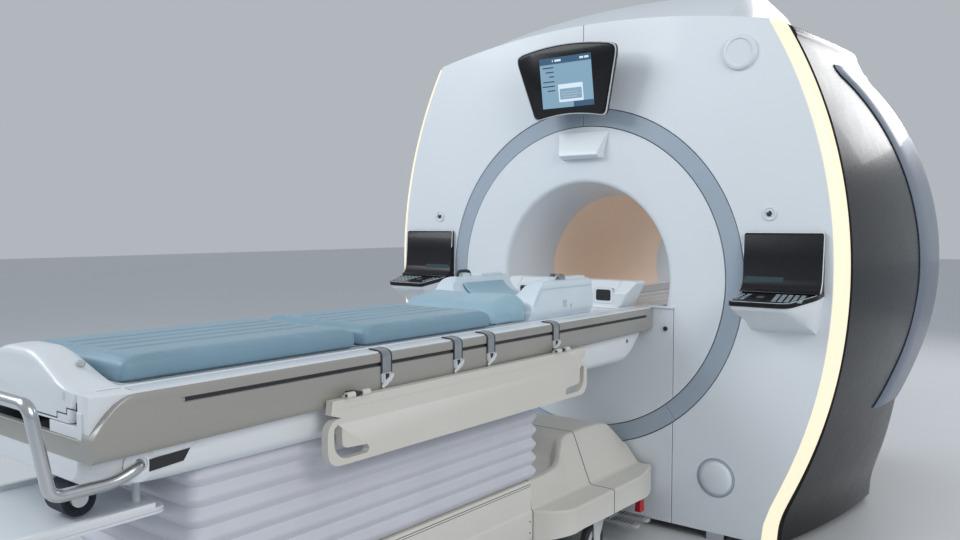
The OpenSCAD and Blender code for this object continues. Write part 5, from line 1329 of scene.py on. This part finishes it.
def make_coil():
    w, low, top = PAD_W, PAD_LOW, PAD_LOW + COIL_H
    y0, y1 = COIL_Y0, COIL_Y1
    half = bent([(w - 16, low), (w, low + 24), (w - 6, top - 10), (w - 20, top), (w - 60, top)], 9, 4)
    section = half + trough_arc(w - 72, 0, 96, 10, 90, 16)
    section = section + [(-x, z) for x, z in section[::-1][1:]]
    # rows: y, height of the front slope, pinch of the sides
    slope = [(y0, 34, 8), (y0 + 4, 44, 4), (y0 + 12, 60, 1), (y0 + 30, 88, 0), (y0 + 52, 112, 0), (y0 + 76, 127, 0),
             (y0 + 100, COIL_H, 0), (y1 - 12, COIL_H, 0), (y1 - 4, 130, 2), (y1, 126, 6)]
    rings = []
    for y in steps(y0, y0 + 110, 44) + steps(y1 - 120, y1, 30):
        rise, pinch = spread(slope, y)
        rings.append([(x * (1 - pinch / w), y, min(z, low + rise)) for x, z in section])
    piece("coil_shell", loft(rings), "sliding_cradle", COIL_WHITE, ["head_coil"], sharp=40)
    line = [(w + 0.3, y, low + min(spread(slope, y)[0], 118) - 12) for y in steps(y0 + 14, y1 - 16, 40)]
    piece("coil_seam", mirrored(bar(line, 0.9, 6)), "sliding_cradle", BUCKLE)
    # liner cushion in the trough, lids, grip and strap on the cheeks, and grey blocks of painted shade for the notches
    # in the sides
    liner = prism(trough_arc(w - 75, 2, 93, 16, 164, 24) + trough_arc(w - 86, 4, 82, 164, 16, 24), y0 + 96, y1 - 60)
    obj = piece("coil_liner", liner, "sliding_cradle", CUSHION, bevel=5, segments=4, sharp=50)
    front = rounded([(w - 60, top - 2), (w - 24, top - 2), (w - 30, top + 12), (w - 56, top + 12)], 5, 3)
    rear = rounded([(w - 66, top - 2), (w - 20, top - 2), (w - 26, top + 8), (w - 60, top + 8)], 4, 3)
    lids = merged(prism(front, y0 + 128, y0 + 172), prism(rear, y0 + 236, y1 - 30))
    piece("coil_lids", mirrored(lids), "sliding_cradle", COIL_WHITE, bevel=2, segments=3)
    x = 42 - w
    grip = [(x, y0 + 112, top - 4), (x, y0 + 118, top + 20), (x, y0 + 182, top + 20), (x, y0 + 188, top - 4)]
    piece("coil_grip", bar(bent(grip, 18, 8), 6, 16), "sliding_cradle", SOFT_BLACK, sharp=50)
    y = y0 + 213
    path = bent([(w - 22, y, top - 6), (w - 22, y, top + 16), (w - 58, y, top + 20), (w - 96, y, top - 24)], 14, 7)
    piece("coil_strap", ribbon(path, 19, 3.4), "sliding_cradle", WEBBING, sharp=50)
    ribs = [(w - 62 + 6 * k, y, top + 19.4 - 0.5 * k) for k in range(7)]
    repeated("coil_strap_ribs", ribs, (2.0, 34, 1.6), "block", WEBBING_EDGE, "sliding_cradle")
    # grey blocks at the notches: painted shade in them
    notch = merged(block(w - 8, y0 + 190, low + 34, w + 0.5, y0 + 212, low + 60),
                   block(w - 8, y0 + 236, low + 30, w + 0.5, y0 + 246, low + 44))
    piece("coil_notches", mirrored(notch), "sliding_cradle", BUCKLE, bevel=0.8)


def make_face_caps():
    """Domed caps low on the face, each inside two grey rings of painted shadow."""
    dome = [(0, 15), (28, 14), (48, 11), (60, 6), (64, 1), (64, -2), (0, -2)]
    domes, rings = [], []
    for x in (-PLUG_X, PLUG_X):
        at = (x, FACE_Y, PLUG_Z)
        domes.append(spin(dome, at, OUTWARDS, 64))
        for r0, r1, out in ((66, 69, 0.8), (74, 76, 1.0)):
            rings.append(spin([(r0, -1), (r0, out), (r1, out), (r1, -1)], at, OUTWARDS, 64))
    piece("plug_domes", merged(*domes), "magnet", COVER_WHITE, sharp=40)
    # grey rings round the caps: painted shadow
    piece("plug_rings", merged(*rings), "magnet", RING_GREY)


def make_connectors():
    dressed("connector_block", TABLE_WHITE, bevel=3, segments=3)
    y1, top = HEAD_Y - 14, 996.0
    sockets, rims = [], []
    for s in (1, -1):
        x0, x1 = sorted((s * 152, s * 218))
        rim = rounded(rectangle(x0 - 8, PAD_LOW + 20, x1 + 8, PAD_LOW + 84), 12, 5)
        rims.append(prism(rim, y1 - 122.5, y1 - 119))
        socket = rounded(rectangle(x0, PAD_LOW + 30, x1, PAD_LOW + 74), 9, 5)
        sockets.append(prism(socket, y1 - 123.2, y1 - 121))
        sockets.append(block(x0 + 10, y1 - 126, PAD_LOW + 46, x1 - 10, y1 - 123, PAD_LOW + 54))
    slots = [block(x, y1 - 121.5, PAD_LOW + 28, x + 30, y1 - 119.5, PAD_LOW + 50) for x in (-60, -16, 28)]
    piece("connector_rims", merged(*rims), "sliding_cradle", TABLE_WHITE, bevel=1)
    piece("connector_sockets", merged(*sockets), "sliding_cradle", SOFT_BLACK, bevel=0.8)
    piece("connector_slots", merged(*slots), "sliding_cradle", DARK_METAL)
    cheek = [(y1 - 118, PAD_LOW + 62), (y1 - 74, top + 0.2), (y1 - 66, top + 0.2), (y1 - 108, PAD_LOW + 60)]
    lines = merged(prism(cheek, 238, 239.5, "yz"), prism(cheek, -239.5, -238, "yz"))
    piece("connector_line", lines, "sliding_cradle", BUCKLE)


def make_room():
    me = bpy.data.meshes.new("floor")
    me.from_pydata([(-30, -30, 0), (30, -30, 0), (30, 30, 0), (-30, 30, 0)], [], [(0, 1, 2, 3)])
    floor = bpy.data.objects.new("floor", me)
    scene.collection.objects.link(floor)
    me.materials.append(finish("floor_pale", (0.62, 0.64, 0.66), 0.5, 0.01, 0.5, 60, 0.00005))
    world = bpy.data.worlds.new("studio")
    scene.world = world
    world.use_nodes = True
    nt = world.node_tree
    back = nt.nodes["Background"]
    back.inputs["Color"].default_value = (0.80, 0.86, 0.92, 1)
    back.inputs["Strength"].default_value = 0.55
    area_light("key", (-3.5, -5.5, 4.2), (0, -1.5, 0.9), (3.5, 2.5), 170, (0.93, 0.97, 1.0))
    area_light("fill", (4.5, -3.0, 3.2), (0, -0.8, 0.9), (3.0, 2.5), 90, (1.0, 0.97, 0.93))
    area_light("rear", (1.5, 5.0, 3.5), (0, 0, 1.0), (3.0, 2.0), 90)


make_camera()
scene.view_settings.view_transform = "Standard"
make_front()
make_side_covers()
make_wings()
make_light_strips()
make_top_cover()
make_display()
make_consoles()
make_magnet_details()
make_base()
make_bellows()
make_wheels()
make_pedals()
make_rails()
make_top()
make_handle()
make_guards()
make_tray()
make_straps()
make_cradle()
make_pads()
make_coil()
make_connectors()
make_face_caps()
make_room()
